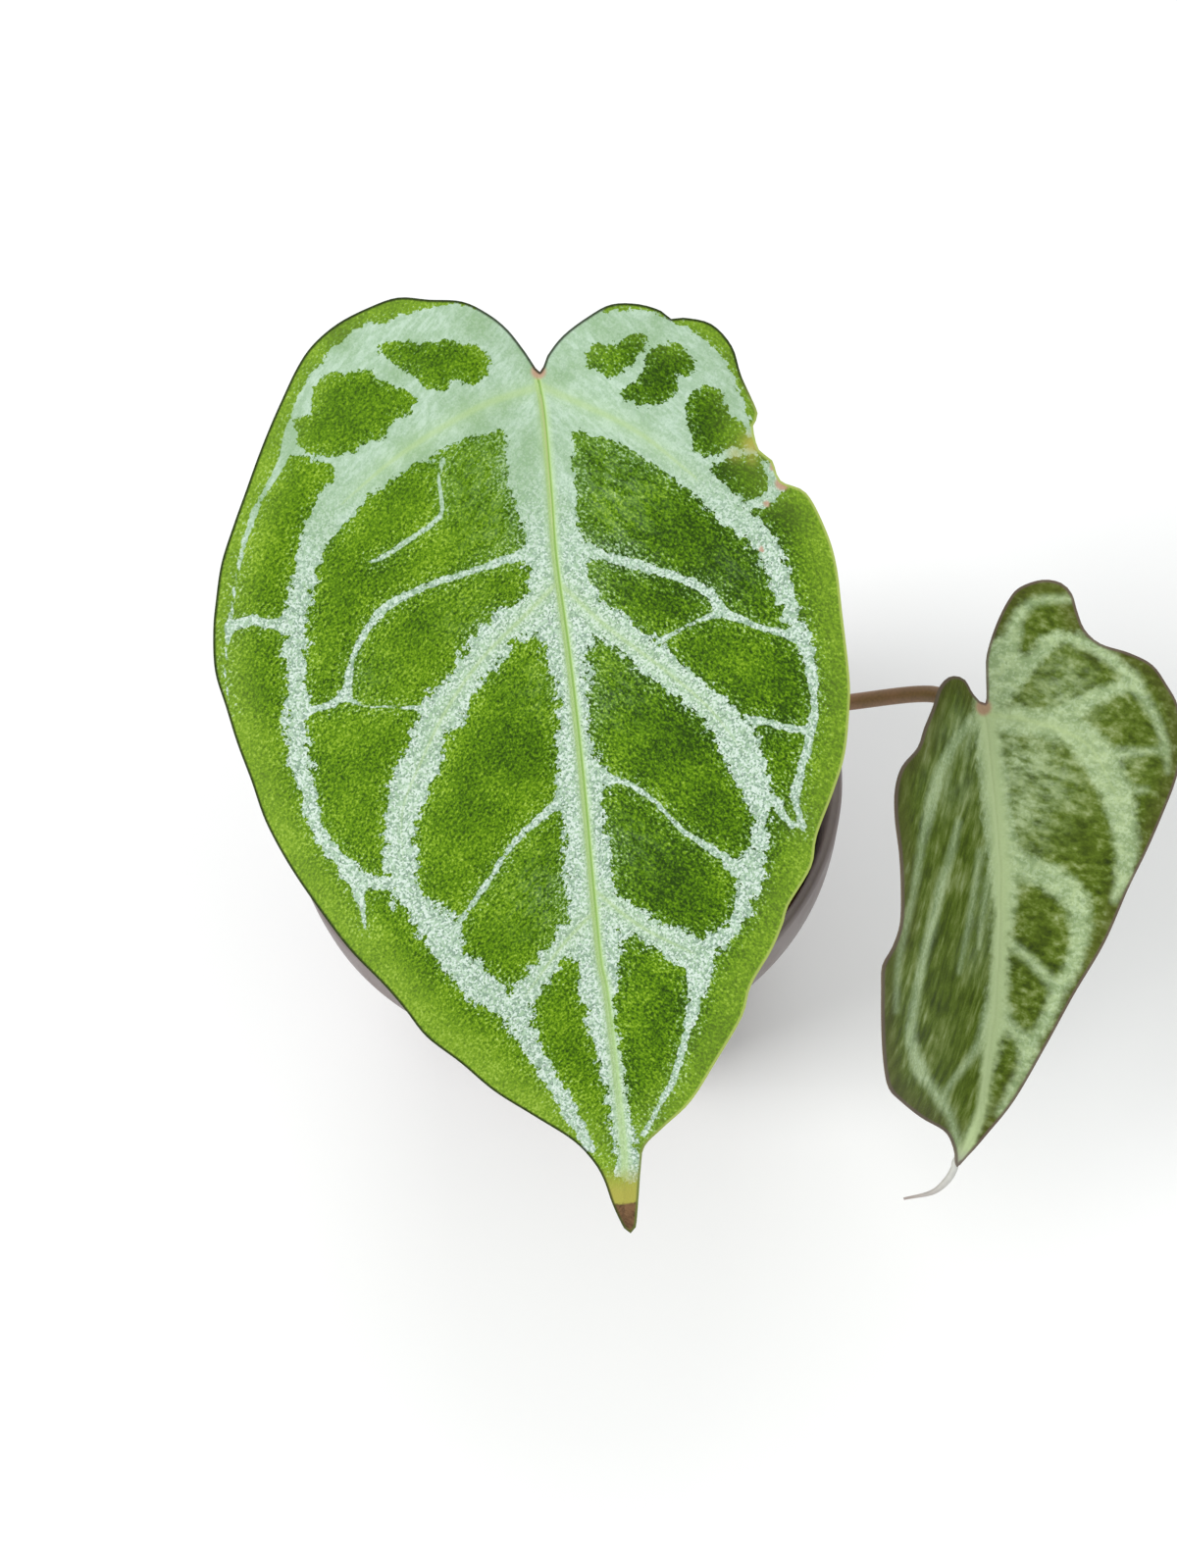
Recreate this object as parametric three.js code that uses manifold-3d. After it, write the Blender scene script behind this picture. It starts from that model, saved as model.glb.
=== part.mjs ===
// A potted silver blush anthurium: a nursery pot filled with bark mix, a short stem with air
// roots, and two heart-shaped leaves on long petioles. Millimetres, +Z up, the origin in the
// middle of the pot's foot, and the plant facing -Y.
import * as THREE from 'three';
import { mergeVertices } from 'three/addons/utils/BufferGeometryUtils.js';
import Module from 'manifold-3d';

const wasm = await Module();
wasm.setup();

// Driving dimensions.
const POT_HEIGHT = 90;
const POT_RIM_RADIUS = 59;
const POT_FOOT_RADIUS = 39.5;
const POT_WALL = 1.6;
const POT_COLLAR_HEIGHT = 14;
const POT_SIDES = 48;
const DRAIN_HOLES = 8;
const DRAIN_RADIUS = 4;
const MIX_LEVEL = 78;
const CLEARANCE = 0.3;
const FACET_ALLOWANCE = 0.1;
const STEM_RADIUS = 5.6;
const STEM_FOOT = MIX_LEVEL - 18;
const STEM_TOP = MIX_LEVEL + 14;
const LARGE_PETIOLE_RADIUS = 2.0;
const SMALL_PETIOLE_RADIUS = 1.6;
const BLADE_THICKNESS = 0.8;

// Where each blade meets its petiole, and how the blade lies: it leans back from the level by
// LEAF_LEAN about X, and the small one is turned a little in its own plane.
const LARGE_LEAF_BASE = new THREE.Vector3(4.3, 8.7, 208);
const SMALL_LEAF_BASE = new THREE.Vector3(79.5, -25.9, 142);
const LEAF_LEAN = THREE.MathUtils.degToRad(28);
const SMALL_LEAF_TURN = THREE.MathUtils.degToRad(-8.2);

const Z_AXIS = new THREE.Vector3(0, 0, 1);

// Solids: a closed geometry becomes a solid that can be joined and cut, and comes back as one.
function solidOf(geometry) {
  const bare = geometry.clone();
  bare.deleteAttribute('normal');
  bare.deleteAttribute('uv');
  const merged = mergeVertices(bare, 1e-4);
  return new wasm.Manifold(new wasm.Mesh({
    numProp: 3,
    vertProperties: new Float32Array(merged.attributes.position.array),
    triVerts: new Uint32Array(merged.index.array),
  }));
}

function geometryOf(solid) {
  const mesh = solid.getMesh();
  const geometry = new THREE.BufferGeometry();
  geometry.setAttribute('position', new THREE.BufferAttribute(mesh.vertProperties, 3));
  geometry.setIndex(new THREE.BufferAttribute(mesh.triVerts, 1));
  geometry.computeVertexNormals();
  return geometry;
}

// The largest closed shell of a solid: hollows sealed by fusing are filled, loose scraps dropped.
function wholePiece(solid) {
  const shells = solid.decompose();
  return shells.reduce((best, shell) => (shell.volume() > best.volume() ? shell : best));
}

function named(name, geometry, color, roughness) {
  const material = new THREE.MeshStandardMaterial({ color, roughness, metalness: 0 });
  const mesh = new THREE.Mesh(geometry, material);
  mesh.name = name;
  return mesh;
}

// A turned shape about Z from a profile of [radius, height] that starts and ends on the axis.
function turned(profile, sides) {
  const points = profile.map(([radius, height]) => new THREE.Vector2(radius, height));
  return new THREE.LatheGeometry(points, sides).rotateX(Math.PI / 2);
}

// Moves a shape that stands on the origin along Z so that it stands on a point along a direction.
function stoodOn(geometry, point, direction) {
  const turn = new THREE.Quaternion().setFromUnitVectors(Z_AXIS, direction.clone().normalize());
  return geometry.applyQuaternion(turn).translate(point.x, point.y, point.z);
}

// A round rod of one radius along a smooth curve through the points.
function rod(points, radius, sides, steps) {
  const section = new THREE.Shape();
  for (let side = 0; side < sides; side += 1) {
    const angle = (side * 2 * Math.PI) / sides;
    const x = radius * Math.cos(angle);
    const y = radius * Math.sin(angle);
    if (side === 0) section.moveTo(x, y);
    else section.lineTo(x, y);
  }
  section.closePath();
  const path = new THREE.CatmullRomCurve3(points, false, 'centripetal');
  return new THREE.ExtrudeGeometry(section, { steps, bevelEnabled: false, extrudePath: path });
}

function smoothstep(from, to, value) {
  const t = THREE.MathUtils.clamp((value - from) / (to - from), 0, 1);
  return t * t * (3 - 2 * t);
}

// A thin blade over an outline, as a fan of rings about a point inside it. Its height over the
// flat is relief(x, y), and both faces are split into the same triangles.
function blade(outline, centre, relief, thickness) {
  const rings = [0.2, 0.4, 0.58, 0.74, 0.88, 1];
  const count = outline.length;
  const flat = [centre];
  for (const ring of rings) {
    for (const [x, y] of outline) {
      flat.push([centre[0] + (x - centre[0]) * ring, centre[1] + (y - centre[1]) * ring]);
    }
  }
  const positions = [];
  const step = 0.05;
  for (const side of [1, -1]) {
    for (const [x, y] of flat) {
      const slopeX = (relief(x + step, y) - relief(x - step, y)) / (2 * step);
      const slopeY = (relief(x, y + step) - relief(x, y - step)) / (2 * step);
      const normal = new THREE.Vector3(-slopeX, -slopeY, 1).normalize();
      const point = new THREE.Vector3(x, y, relief(x, y));
      point.addScaledVector(normal, (side * thickness) / 2);
      positions.push(point.x, point.y, point.z);
    }
  }
  const face = [];
  for (let i = 0; i < count; i += 1) {
    const next = (i + 1) % count;
    face.push([0, 1 + i, 1 + next]);
    for (let ring = 1; ring < rings.length; ring += 1) {
      const inner = 1 + (ring - 1) * count;
      const outer = inner + count;
      face.push([inner + i, outer + i, outer + next]);
      face.push([inner + i, outer + next, inner + next]);
    }
  }
  const under = flat.length;
  const index = [];
  for (const [a, b, c] of face) {
    index.push(a, b, c);
    index.push(under + a, under + c, under + b);
  }
  const edge = flat.length - count;
  for (let i = 0; i < count; i += 1) {
    const a = edge + i;
    const b = edge + ((i + 1) % count);
    index.push(a, under + a, under + b);
    index.push(a, under + b, b);
  }
  const geometry = new THREE.BufferGeometry();
  geometry.setAttribute('position', new THREE.Float32BufferAttribute(positions, 3));
  geometry.setIndex(index);
  geometry.computeVertexNormals();
  return geometry;
}

// The random draws of the mix, always the same.
let seed = 41;
function draw(from, to) {
  seed = (seed * 1103515245 + 12345) % 2147483648;
  return from + ((to - from) * seed) / 2147483648;
}

// The pot: a thin tapered cup with a collar round its rim. It stands on a foot ring and on a
// flat boss in the middle, and the drain holes go through the raised channel between them.
const BOSS_RADIUS = 14;
const CHANNEL = { inner: 17, outer: 31, height: 2.4 };
const COLLAR_STEP = 2.2;
const LIP_DEPTH = 1.2;
const LIP_ROUND = 0.6;
const COLLAR_FOOT = POT_HEIGHT - POT_COLLAR_HEIGHT;
const LEAN_PER_MM = (POT_RIM_RADIUS - COLLAR_STEP - POT_FOOT_RADIUS) / COLLAR_FOOT;
const FLOOR_TOP = POT_WALL + 0.6;

function potOuterRadius(height) {
  return POT_FOOT_RADIUS + LEAN_PER_MM * height;
}

function potInnerRadius(height) {
  return potOuterRadius(height) - POT_WALL;
}

function makePot() {
  const lipInside = POT_RIM_RADIUS - POT_WALL - 0.9;
  const profile = [
    [0, 0],
    [BOSS_RADIUS, 0],
    [CHANNEL.inner, CHANNEL.height],
    [CHANNEL.outer, CHANNEL.height],
    [CHANNEL.outer + 3, 0],
    [POT_FOOT_RADIUS - 1, 0],
    [potOuterRadius(1), 1],
    [potOuterRadius(COLLAR_FOOT - 1), COLLAR_FOOT - 1],
    [POT_RIM_RADIUS - LIP_ROUND, COLLAR_FOOT],
    [POT_RIM_RADIUS, POT_HEIGHT - LIP_DEPTH],
    [POT_RIM_RADIUS - LIP_ROUND, POT_HEIGHT],
    [lipInside + LIP_ROUND, POT_HEIGHT],
    [lipInside, POT_HEIGHT - LIP_DEPTH],
    [potInnerRadius(COLLAR_FOOT) + 0.4, COLLAR_FOOT],
    [potInnerRadius(COLLAR_FOOT - 2), COLLAR_FOOT - 2],
    [potInnerRadius(4), 4],
    [POT_FOOT_RADIUS - 3, FLOOR_TOP],
    [CHANNEL.outer + 3, FLOOR_TOP],
    [CHANNEL.outer, CHANNEL.height + POT_WALL],
    [CHANNEL.inner, CHANNEL.height + POT_WALL],
    [BOSS_RADIUS, FLOOR_TOP],
    [0, FLOOR_TOP],
  ];
  let pot = solidOf(turned(profile, POT_SIDES));
  const middle = (CHANNEL.inner + CHANNEL.outer) / 2;
  for (let hole = 0; hole < DRAIN_HOLES; hole += 1) {
    const angle = ((hole + 0.5) * 2 * Math.PI) / DRAIN_HOLES;
    const drill = new THREE.CylinderGeometry(DRAIN_RADIUS, DRAIN_RADIUS, 8, 10);
    drill.rotateX(Math.PI / 2);
    drill.translate(middle * Math.cos(angle), middle * Math.sin(angle), CHANNEL.height + 1);
    pot = pot.subtract(solidOf(drill));
  }
  return geometryOf(pot);
}

// The stem: a short rooted stalk with rings where old leaves were, a stub under each petiole,
// and air roots that arch out and down into the mix.
const STEM_MIDDLE = new THREE.Vector3(0, 1, 0);
const STUB_RADIUS = 2.6;
const STUB_FLARE = 0.9;
const STUB_LENGTH = 7;
const ROOT_RADIUS = 1.2;
const ROOT_ANGLES = [-150, -62, 38, 128];
const LARGE_STUB = {
  foot: new THREE.Vector3(-0.5, 2.2, MIX_LEVEL + 10),
  direction: new THREE.Vector3(0.04, 0.2, 1).normalize(),
};
const SMALL_STUB = {
  foot: new THREE.Vector3(2.0, 0.4, MIX_LEVEL + 9),
  direction: new THREE.Vector3(0.72, -0.08, 0.7).normalize(),
};

function stubEnd(stub) {
  return stub.foot.clone().addScaledVector(stub.direction, STUB_LENGTH);
}

function rootPath(degrees, reach) {
  const angle = THREE.MathUtils.degToRad(degrees);
  const route = [[3, 2], [8, 4.8], [12.5, 4], [15.5, 0], [16.5, -5], [16.8, -10]];
  return route.map(([out, rise]) => new THREE.Vector3(
    STEM_MIDDLE.x + out * reach * Math.cos(angle),
    STEM_MIDDLE.y + out * reach * Math.sin(angle),
    MIX_LEVEL + rise,
  ));
}

function rootReach(number) {
  return 1 + 0.12 * (number % 3);
}

function makeStem() {
  const waist = STEM_RADIUS - 0.5;
  const profile = [[0, STEM_FOOT], [3.4, STEM_FOOT], [waist, STEM_FOOT + 3]];
  for (const ring of [MIX_LEVEL - 3, MIX_LEVEL + 2, MIX_LEVEL + 7]) {
    profile.push([waist, ring - 1.2], [STEM_RADIUS, ring], [waist, ring + 1.2]);
  }
  profile.push([waist - 0.3, STEM_TOP - 2.5], [STEM_RADIUS - 2.4, STEM_TOP - 0.4], [0, STEM_TOP]);
  const stalk = turned(profile, 14).translate(STEM_MIDDLE.x, STEM_MIDDLE.y, 0);
  let stem = solidOf(stalk);
  for (const stub of [LARGE_STUB, SMALL_STUB]) {
    const shape = new THREE.CylinderGeometry(STUB_RADIUS, STUB_RADIUS + STUB_FLARE, STUB_LENGTH, 10);
    shape.rotateX(Math.PI / 2).translate(0, 0, STUB_LENGTH / 2);
    stem = stem.add(solidOf(stoodOn(shape, stub.foot, stub.direction)));
  }
  ROOT_ANGLES.forEach((degrees, number) => {
    stem = stem.add(solidOf(rod(rootPath(degrees, rootReach(number)), ROOT_RADIUS, 6, 9)));
  });
  return geometryOf(stem);
}

// The mix: a plug that fills the pot, with bark chips standing out of its top, and a plain hole
// for the stem and for each root.
const CHIP_COUNT = 48;
const CHIP_FIELD = 44;
const GOLDEN_ANGLE = Math.PI * (3 - Math.sqrt(5));
const MIX_SIDES = 32;

function makeChip(x, y) {
  const length = draw(9, 16);
  const width = draw(7, 11);
  const height = draw(5, 7);
  const box = new THREE.BoxGeometry(length, width, height);
  box.deleteAttribute('normal');
  box.deleteAttribute('uv');
  const chip = mergeVertices(box);
  const corner = chip.attributes.position;
  for (let i = 0; i < corner.count; i += 1) {
    corner.setX(i, corner.getX(i) * draw(0.62, 1));
    corner.setY(i, corner.getY(i) * draw(0.7, 1));
    corner.setZ(i, corner.getZ(i) * draw(0.8, 1));
  }
  chip.rotateX(draw(-0.35, 0.35)).rotateY(draw(-0.35, 0.35)).rotateZ(draw(0, Math.PI));
  return chip.translate(x, y, MIX_LEVEL + draw(-0.6, 1.2));
}

function makeMix() {
  const gap = CLEARANCE;
  const floor = FLOOR_TOP + gap;
  const raised = CHANNEL.height + POT_WALL + gap;
  const top = MIX_LEVEL - 1;
  const profile = [
    [0, floor],
    [BOSS_RADIUS - gap, floor],
    [CHANNEL.inner - gap, raised],
    [CHANNEL.outer + gap, raised],
    [CHANNEL.outer + 3 + gap, floor],
    [POT_FOOT_RADIUS - 3.4, floor],
    [potInnerRadius(4.6) - gap - FACET_ALLOWANCE, 4.6],
    [potInnerRadius(top - 3) - gap - FACET_ALLOWANCE, top - 3],
    [potInnerRadius(top) - gap - 1.6, top - 0.4],
    [34, top + 0.3],
    [0, MIX_LEVEL],
  ];
  let mix = solidOf(turned(profile, MIX_SIDES));
  for (let i = 0; i < CHIP_COUNT; i += 1) {
    const out = CHIP_FIELD * Math.sqrt((i + 0.5) / CHIP_COUNT);
    const angle = i * GOLDEN_ANGLE + draw(-0.25, 0.25);
    if (out < STEM_RADIUS) continue;
    mix = mix.add(solidOf(makeChip(out * Math.cos(angle), out * Math.sin(angle))));
  }
  const holeRadius = STEM_RADIUS + CLEARANCE + FACET_ALLOWANCE;
  const holeFoot = STEM_FOOT - CLEARANCE;
  const hole = new THREE.CylinderGeometry(holeRadius, holeRadius, POT_HEIGHT, 16);
  hole.rotateX(Math.PI / 2).translate(STEM_MIDDLE.x, STEM_MIDDLE.y, holeFoot + POT_HEIGHT / 2);
  mix = mix.subtract(solidOf(hole));
  ROOT_ANGLES.forEach((degrees, number) => {
    const path = rootPath(degrees, rootReach(number));
    path[path.length - 1].z -= 2 * CLEARANCE;
    const boreRadius = ROOT_RADIUS + CLEARANCE + 2 * FACET_ALLOWANCE;
    mix = mix.subtract(solidOf(rod(path, boreRadius, 8, 9)));
  });
  return geometryOf(wholePiece(mix));
}

// The petioles: long round stalks, each ending in a swollen knuckle whose flat end carries the
// blade where its midrib starts.
const KNUCKLE_LENGTH = 6;
const KNUCKLE_SWELL = 0.7;
const LARGE_PETIOLE_SEAT = new THREE.Vector3(0, -Math.sin(LEAF_LEAN), Math.cos(LEAF_LEAN));
const LARGE_PETIOLE_ROUTE = [
  new THREE.Vector3(1, 10, 128),
  new THREE.Vector3(2.9, 15, 164),
  new THREE.Vector3(4.1, 15.8, 188),
];
const SMALL_PETIOLE_SEAT = new THREE.Vector3(0.5, -0.55, 0.67).normalize();
const SMALL_PETIOLE_ROUTE = [
  new THREE.Vector3(33, -5.8, 115),
  new THREE.Vector3(57, -12.5, 128.3),
  new THREE.Vector3(71.6, -17.2, 136.2),
];

function makePetiole(stub, middle, bladeBase, seatDirection, radius, seatGap) {
  const seat = bladeBase.clone().addScaledVector(seatDirection, -BLADE_THICKNESS / 2 - seatGap);
  const knuckleFoot = seat.clone().addScaledVector(seatDirection, -KNUCKLE_LENGTH);
  const start = stubEnd(stub).addScaledVector(stub.direction, CLEARANCE);
  const second = start.clone().addScaledVector(stub.direction, 6);
  const path = [start, second, ...middle, knuckleFoot, seat];
  const swollen = radius + KNUCKLE_SWELL;
  const knuckle = turned([
    [0, 0],
    [radius * 0.9, 0],
    [swollen, KNUCKLE_LENGTH * 0.35],
    [swollen, KNUCKLE_LENGTH * 0.75],
    [radius + 0.1, KNUCKLE_LENGTH],
    [0, KNUCKLE_LENGTH],
  ], 10);
  const stalk = solidOf(rod(path, radius, 8, 26));
  return geometryOf(stalk.add(solidOf(stoodOn(knuckle, knuckleFoot, seatDirection))));
}

// The blades. Each outline runs from the notch between the lobes, down the left margin to the
// tip and up the right margin, with the midrib along -Y.
const LARGE_OUTLINE = [
  [0.5, 2.5], [-1.5, 6], [-4, 10], [-7, 13], [-11, 15.5], [-16.5, 16.5],
  [-21.5, 17.5], [-26.5, 16.5], [-32, 14.5], [-36.5, 11.5], [-39.5, 8], [-42.5, 3],
  [-45, -1.5], [-47.5, -6.5], [-50, -12], [-52.5, -17.5], [-55, -23.5], [-56.5, -29.5],
  [-57.5, -34.5], [-58, -41], [-57, -47], [-56, -53], [-54.5, -59.5], [-53, -66.5],
  [-50, -74], [-46, -81.5], [-41.5, -89], [-36.5, -95.5], [-33.5, -100], [-30.5, -105],
  [-25.5, -110], [-20.5, -115.5], [-14.5, -120.5], [-8.5, -125.5], [-5.5, -129.5], [-4, -133],
  [-3, -137.5], [-1.5, -142], [-0.5, -143], [0.5, -142], [1.5, -137], [2.5, -131.5],
  [3.5, -128], [7, -125], [12, -121], [17, -114.5], [22, -107.5], [24, -102.5],
  [28, -97], [30.5, -92.5], [31.5, -90], [36, -84], [37.5, -79], [41, -72],
  [43.5, -66], [45, -58.5], [45.5, -53.5], [45.5, -43], [45.5, -35], [44.5, -29],
  [42, -22.5], [38, -20], [37, -16.5], [35, -14.5], [34.5, -10.5], [35.5, -8.5],
  [33.5, -2], [32.5, 3], [29.5, 7], [25, 8.5], [23, 8.5], [21.5, 10],
  [18, 11.5], [13.5, 12], [9.5, 10.5], [5, 8], [2, 5],
];

const SMALL_OUTLINE = [
  [0, 2], [-2.5, 3.5], [-4.5, 6], [-7, 6.5], [-9, 5.5], [-10.5, 3.5],
  [-11.5, 0.5], [-13.5, -3.5], [-15, -7], [-18.5, -10.5], [-20, -14.5], [-20, -19.5],
  [-19, -25.5], [-18.5, -31.5], [-18.5, -37.5], [-20, -41.5], [-22, -44.5], [-22, -48.5],
  [-21.5, -55.5], [-20.5, -62], [-19, -66.5], [-16, -69.5], [-11, -73.5], [-5.5, -77],
  [-3.5, -79.5], [-2.5, -82], [-2, -84.5], [0.5, -82], [3.5, -78], [8, -71.5],
  [13, -61.5], [18, -51], [23, -41.5], [27, -31.5], [30.5, -24], [33.5, -17],
  [35.5, -12], [36.5, -8], [36.5, -3], [36, 2.5], [33.5, 6.5], [30.5, 10],
  [26, 12], [20.5, 13.5], [17.5, 16], [16, 19.5], [15, 22.5], [13, 24.5],
  [9.5, 25], [5.5, 23.5], [3.5, 21], [1.5, 16.5], [0, 11], [0, 7],
];

// The large blade is nearly flat: its tip droops, the halves rise a little from the midrib and
// fall again at the margin, and the margin waves.
function largeRelief(x, y) {
  const awayFromPetiole = smoothstep(3, 15, Math.hypot(x, y));
  const droop = -0.0008 * y * (y + 70);
  const halves = 0.1 * (Math.sqrt(x * x + 9) - 3) - 0.0016 * x * x;
  const round = Math.atan2(y + 60, x);
  const wave = 1.3 * Math.hypot(x / 50, (y + 60) / 75) ** 3 * Math.sin(5 * round + 0.6);
  return droop + (halves + wave) * awayFromPetiole;
}

// The small blade is young and folded along its bowed midrib, its left half raised steeply and
// its right margin rolled under.
function smallRelief(x, y) {
  const midrib = 4.2 * Math.sin(Math.PI * THREE.MathUtils.clamp(-y / 82, 0, 1));
  const out = x - midrib;
  const raised = 1.5 * (Math.sqrt(out * out + 16) - 4);
  const rolled = 0.12 * out - 0.012 * Math.max(0, out - 14) ** 2;
  return (out < 0 ? raised : rolled) - 0.0014 * Math.max(0, -30 - y) ** 2;
}

// The small leaf's thread-like drip tip, which curls to the left.
const DRIP_TIP = [
  [-1, -79], [-2.2, -82.8], [-2.1, -84.7], [-3.4, -87.4], [-6.2, -89.7], [-11.4, -91.1],
];
const DRIP_RADIUS = 0.55;

function makeSmallBlade() {
  const leaf = blade(SMALL_OUTLINE, [0, 0], smallRelief, BLADE_THICKNESS);
  const tip = DRIP_TIP.map(([x, y]) => new THREE.Vector3(x, y, smallRelief(0, y)));
  return geometryOf(solidOf(leaf).add(solidOf(rod(tip, DRIP_RADIUS, 6, 10))));
}

// The dry bracts at the petioles' feet: pointed scales cupped round the stem.
const BRACT_THICKNESS = 0.7;

function makeBract(length, halfWidth, curl) {
  const right = [];
  const steps = 8;
  for (let i = 0; i < steps; i += 1) {
    const along = i / steps;
    const taper = 1.25 * Math.sin(Math.PI * (0.12 + 0.88 * along)) ** 0.8;
    right.push([halfWidth * Math.min(1, taper), along * length]);
  }
  const left = right.map(([x, y]) => [-x, y]).reverse();
  const outline = [...right, [0, length], ...left];
  const relief = (x, y) => curl * (y / length) ** 2 - (x * x) / 13 * (1 - (0.5 * y) / length);
  return blade(outline, [0, length * 0.4], relief, BRACT_THICKNESS);
}

function placeBract(mesh, degrees, height, lean) {
  const angle = THREE.MathUtils.degToRad(degrees);
  const outward = new THREE.Vector3(Math.cos(angle), Math.sin(angle), 0);
  const reach = STEM_RADIUS + CLEARANCE + BRACT_THICKNESS / 2 + FACET_ALLOWANCE;
  const across = new THREE.Vector3().crossVectors(Z_AXIS, outward);
  mesh.setRotationFromMatrix(new THREE.Matrix4().makeBasis(across, Z_AXIS, outward));
  mesh.rotateX(lean);
  mesh.position.copy(STEM_MIDDLE).addScaledVector(outward, reach).setZ(height);
  return mesh;
}

// The whole plant in its pot.
const plant = new THREE.Group();
plant.add(named('pot', makePot(), 0x8d817a, 0.55));
plant.add(named('potting_mix', makeMix(), 0x4a3324, 0.95));
plant.add(named('stem', makeStem(), 0x7a7a45, 0.7));

const firstBract = named('bract_large', makeBract(22, 4.2, 5), 0x8a6a45, 0.85);
const secondBract = named('bract_small', makeBract(17, 3.6, 4), 0x8a6a45, 0.85);
plant.add(placeBract(firstBract, 172, MIX_LEVEL + 8.5, 0.1));
plant.add(placeBract(secondBract, -78, MIX_LEVEL + 8.5, 0.12));

const largePetiole = makePetiole(
  LARGE_STUB,
  LARGE_PETIOLE_ROUTE,
  LARGE_LEAF_BASE,
  LARGE_PETIOLE_SEAT,
  LARGE_PETIOLE_RADIUS,
  CLEARANCE + FACET_ALLOWANCE,
);
plant.add(named('petiole_large', largePetiole, 0x7d6a42, 0.5));

const smallPetiole = makePetiole(
  SMALL_STUB,
  SMALL_PETIOLE_ROUTE,
  SMALL_LEAF_BASE,
  SMALL_PETIOLE_SEAT,
  SMALL_PETIOLE_RADIUS,
  2 * CLEARANCE,
);
plant.add(named('petiole_small', smallPetiole, 0x785f43, 0.5));

const largeBlade = blade(LARGE_OUTLINE, [0, 0], largeRelief, BLADE_THICKNESS);
const largeLeaf = named('leaf_large', largeBlade, 0x5f8a28, 0.45);
largeLeaf.position.copy(LARGE_LEAF_BASE);
largeLeaf.rotation.set(LEAF_LEAN, 0, 0);
plant.add(largeLeaf);

const smallLeaf = named('leaf_small', makeSmallBlade(), 0x5d6f2d, 0.5);
smallLeaf.position.copy(SMALL_LEAF_BASE);
smallLeaf.rotation.set(LEAF_LEAN, 0, SMALL_LEAF_TURN);
plant.add(smallLeaf);

export default plant;
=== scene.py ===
# The looks of a potted silver blush anthurium, piece by piece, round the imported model's frame.
# Metres, +Z up, the origin under the middle of the pot, and the plant facing -Y.
import math
import random

import bmesh
import bpy
import numpy as np
from mathutils import Matrix, Vector, noise
from mathutils.bvhtree import BVHTree


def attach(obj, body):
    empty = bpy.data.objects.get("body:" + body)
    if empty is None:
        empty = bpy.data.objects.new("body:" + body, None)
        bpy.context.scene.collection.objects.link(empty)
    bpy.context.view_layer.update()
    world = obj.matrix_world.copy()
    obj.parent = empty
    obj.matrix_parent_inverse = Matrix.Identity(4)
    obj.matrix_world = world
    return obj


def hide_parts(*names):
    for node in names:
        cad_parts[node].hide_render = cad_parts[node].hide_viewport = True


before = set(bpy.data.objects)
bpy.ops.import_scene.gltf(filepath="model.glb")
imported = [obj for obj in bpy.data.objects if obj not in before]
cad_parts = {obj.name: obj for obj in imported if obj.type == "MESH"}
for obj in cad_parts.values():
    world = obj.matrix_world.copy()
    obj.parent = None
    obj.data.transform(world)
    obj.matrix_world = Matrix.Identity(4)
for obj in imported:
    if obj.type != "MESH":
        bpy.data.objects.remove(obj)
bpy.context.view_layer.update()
scene = bpy.context.scene
MM = 0.001

# The view: a 50 mm lens looks down on the plant from in front, 62 degrees above the level, with
# the camera rolled a little to one side.
CAMERA_PLACE = Vector((5.2, -219.2, 495.5)) * MM
CAMERA_DIP = math.radians(28)
CAMERA_ROLL = math.radians(-6.4)

lens = bpy.data.cameras.new("lens")
lens.lens = 50
lens.sensor_width = 36
camera = bpy.data.objects.new("camera", lens)
turn = Matrix.Rotation(CAMERA_DIP, 4, "X") @ Matrix.Rotation(CAMERA_ROLL, 4, "Z")
camera.matrix_world = Matrix.Translation(CAMERA_PLACE) @ turn
scene.collection.objects.link(camera)
scene.camera = camera
scene.view_settings.view_transform = "Standard"

# The studio light: one large soft lamp high on the left, two weaker ones to fill, and an even
# pale surround.
LAMPS = {
    "key": {"place": (-1.9, -0.7, 2.6), "side": 1.1, "watts": 54},
    "fill": {"place": (1.9, -1.4, 2.2), "side": 1.8, "watts": 11},
    "back": {"place": (0.2, 2.2, 2.0), "side": 1.6, "watts": 12},
}
AIM = Vector((0.01, -0.03, 0.16))
for name, lamp in LAMPS.items():
    light = bpy.data.lights.new(name, "AREA")
    light.size = lamp["side"]
    light.energy = lamp["watts"]
    holder = bpy.data.objects.new(name, light)
    place = Vector(lamp["place"])
    aimed = (AIM - place).to_track_quat("-Z", "Y").to_matrix().to_4x4()
    holder.matrix_world = Matrix.Translation(place) @ aimed
    scene.collection.objects.link(holder)

surround = bpy.data.worlds.new("surround")
surround.use_nodes = True
background = surround.node_tree.nodes["Background"]
background.inputs["Color"].default_value = (0.97, 0.985, 1.0, 1.0)
background.inputs["Strength"].default_value = 0.68
scene.world = surround


# The floor: a sheet of matt white paper, seamless and slightly fibrous.
def linear(code):
    """An sRGB hex colour as the linear colour that a shader takes."""
    parts = [int(code[i:i + 2], 16) / 255 for i in (1, 3, 5)]
    return tuple(p / 12.92 if p <= 0.04045 else ((p + 0.055) / 1.055) ** 2.4 for p in parts) + (1.0,)


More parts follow.
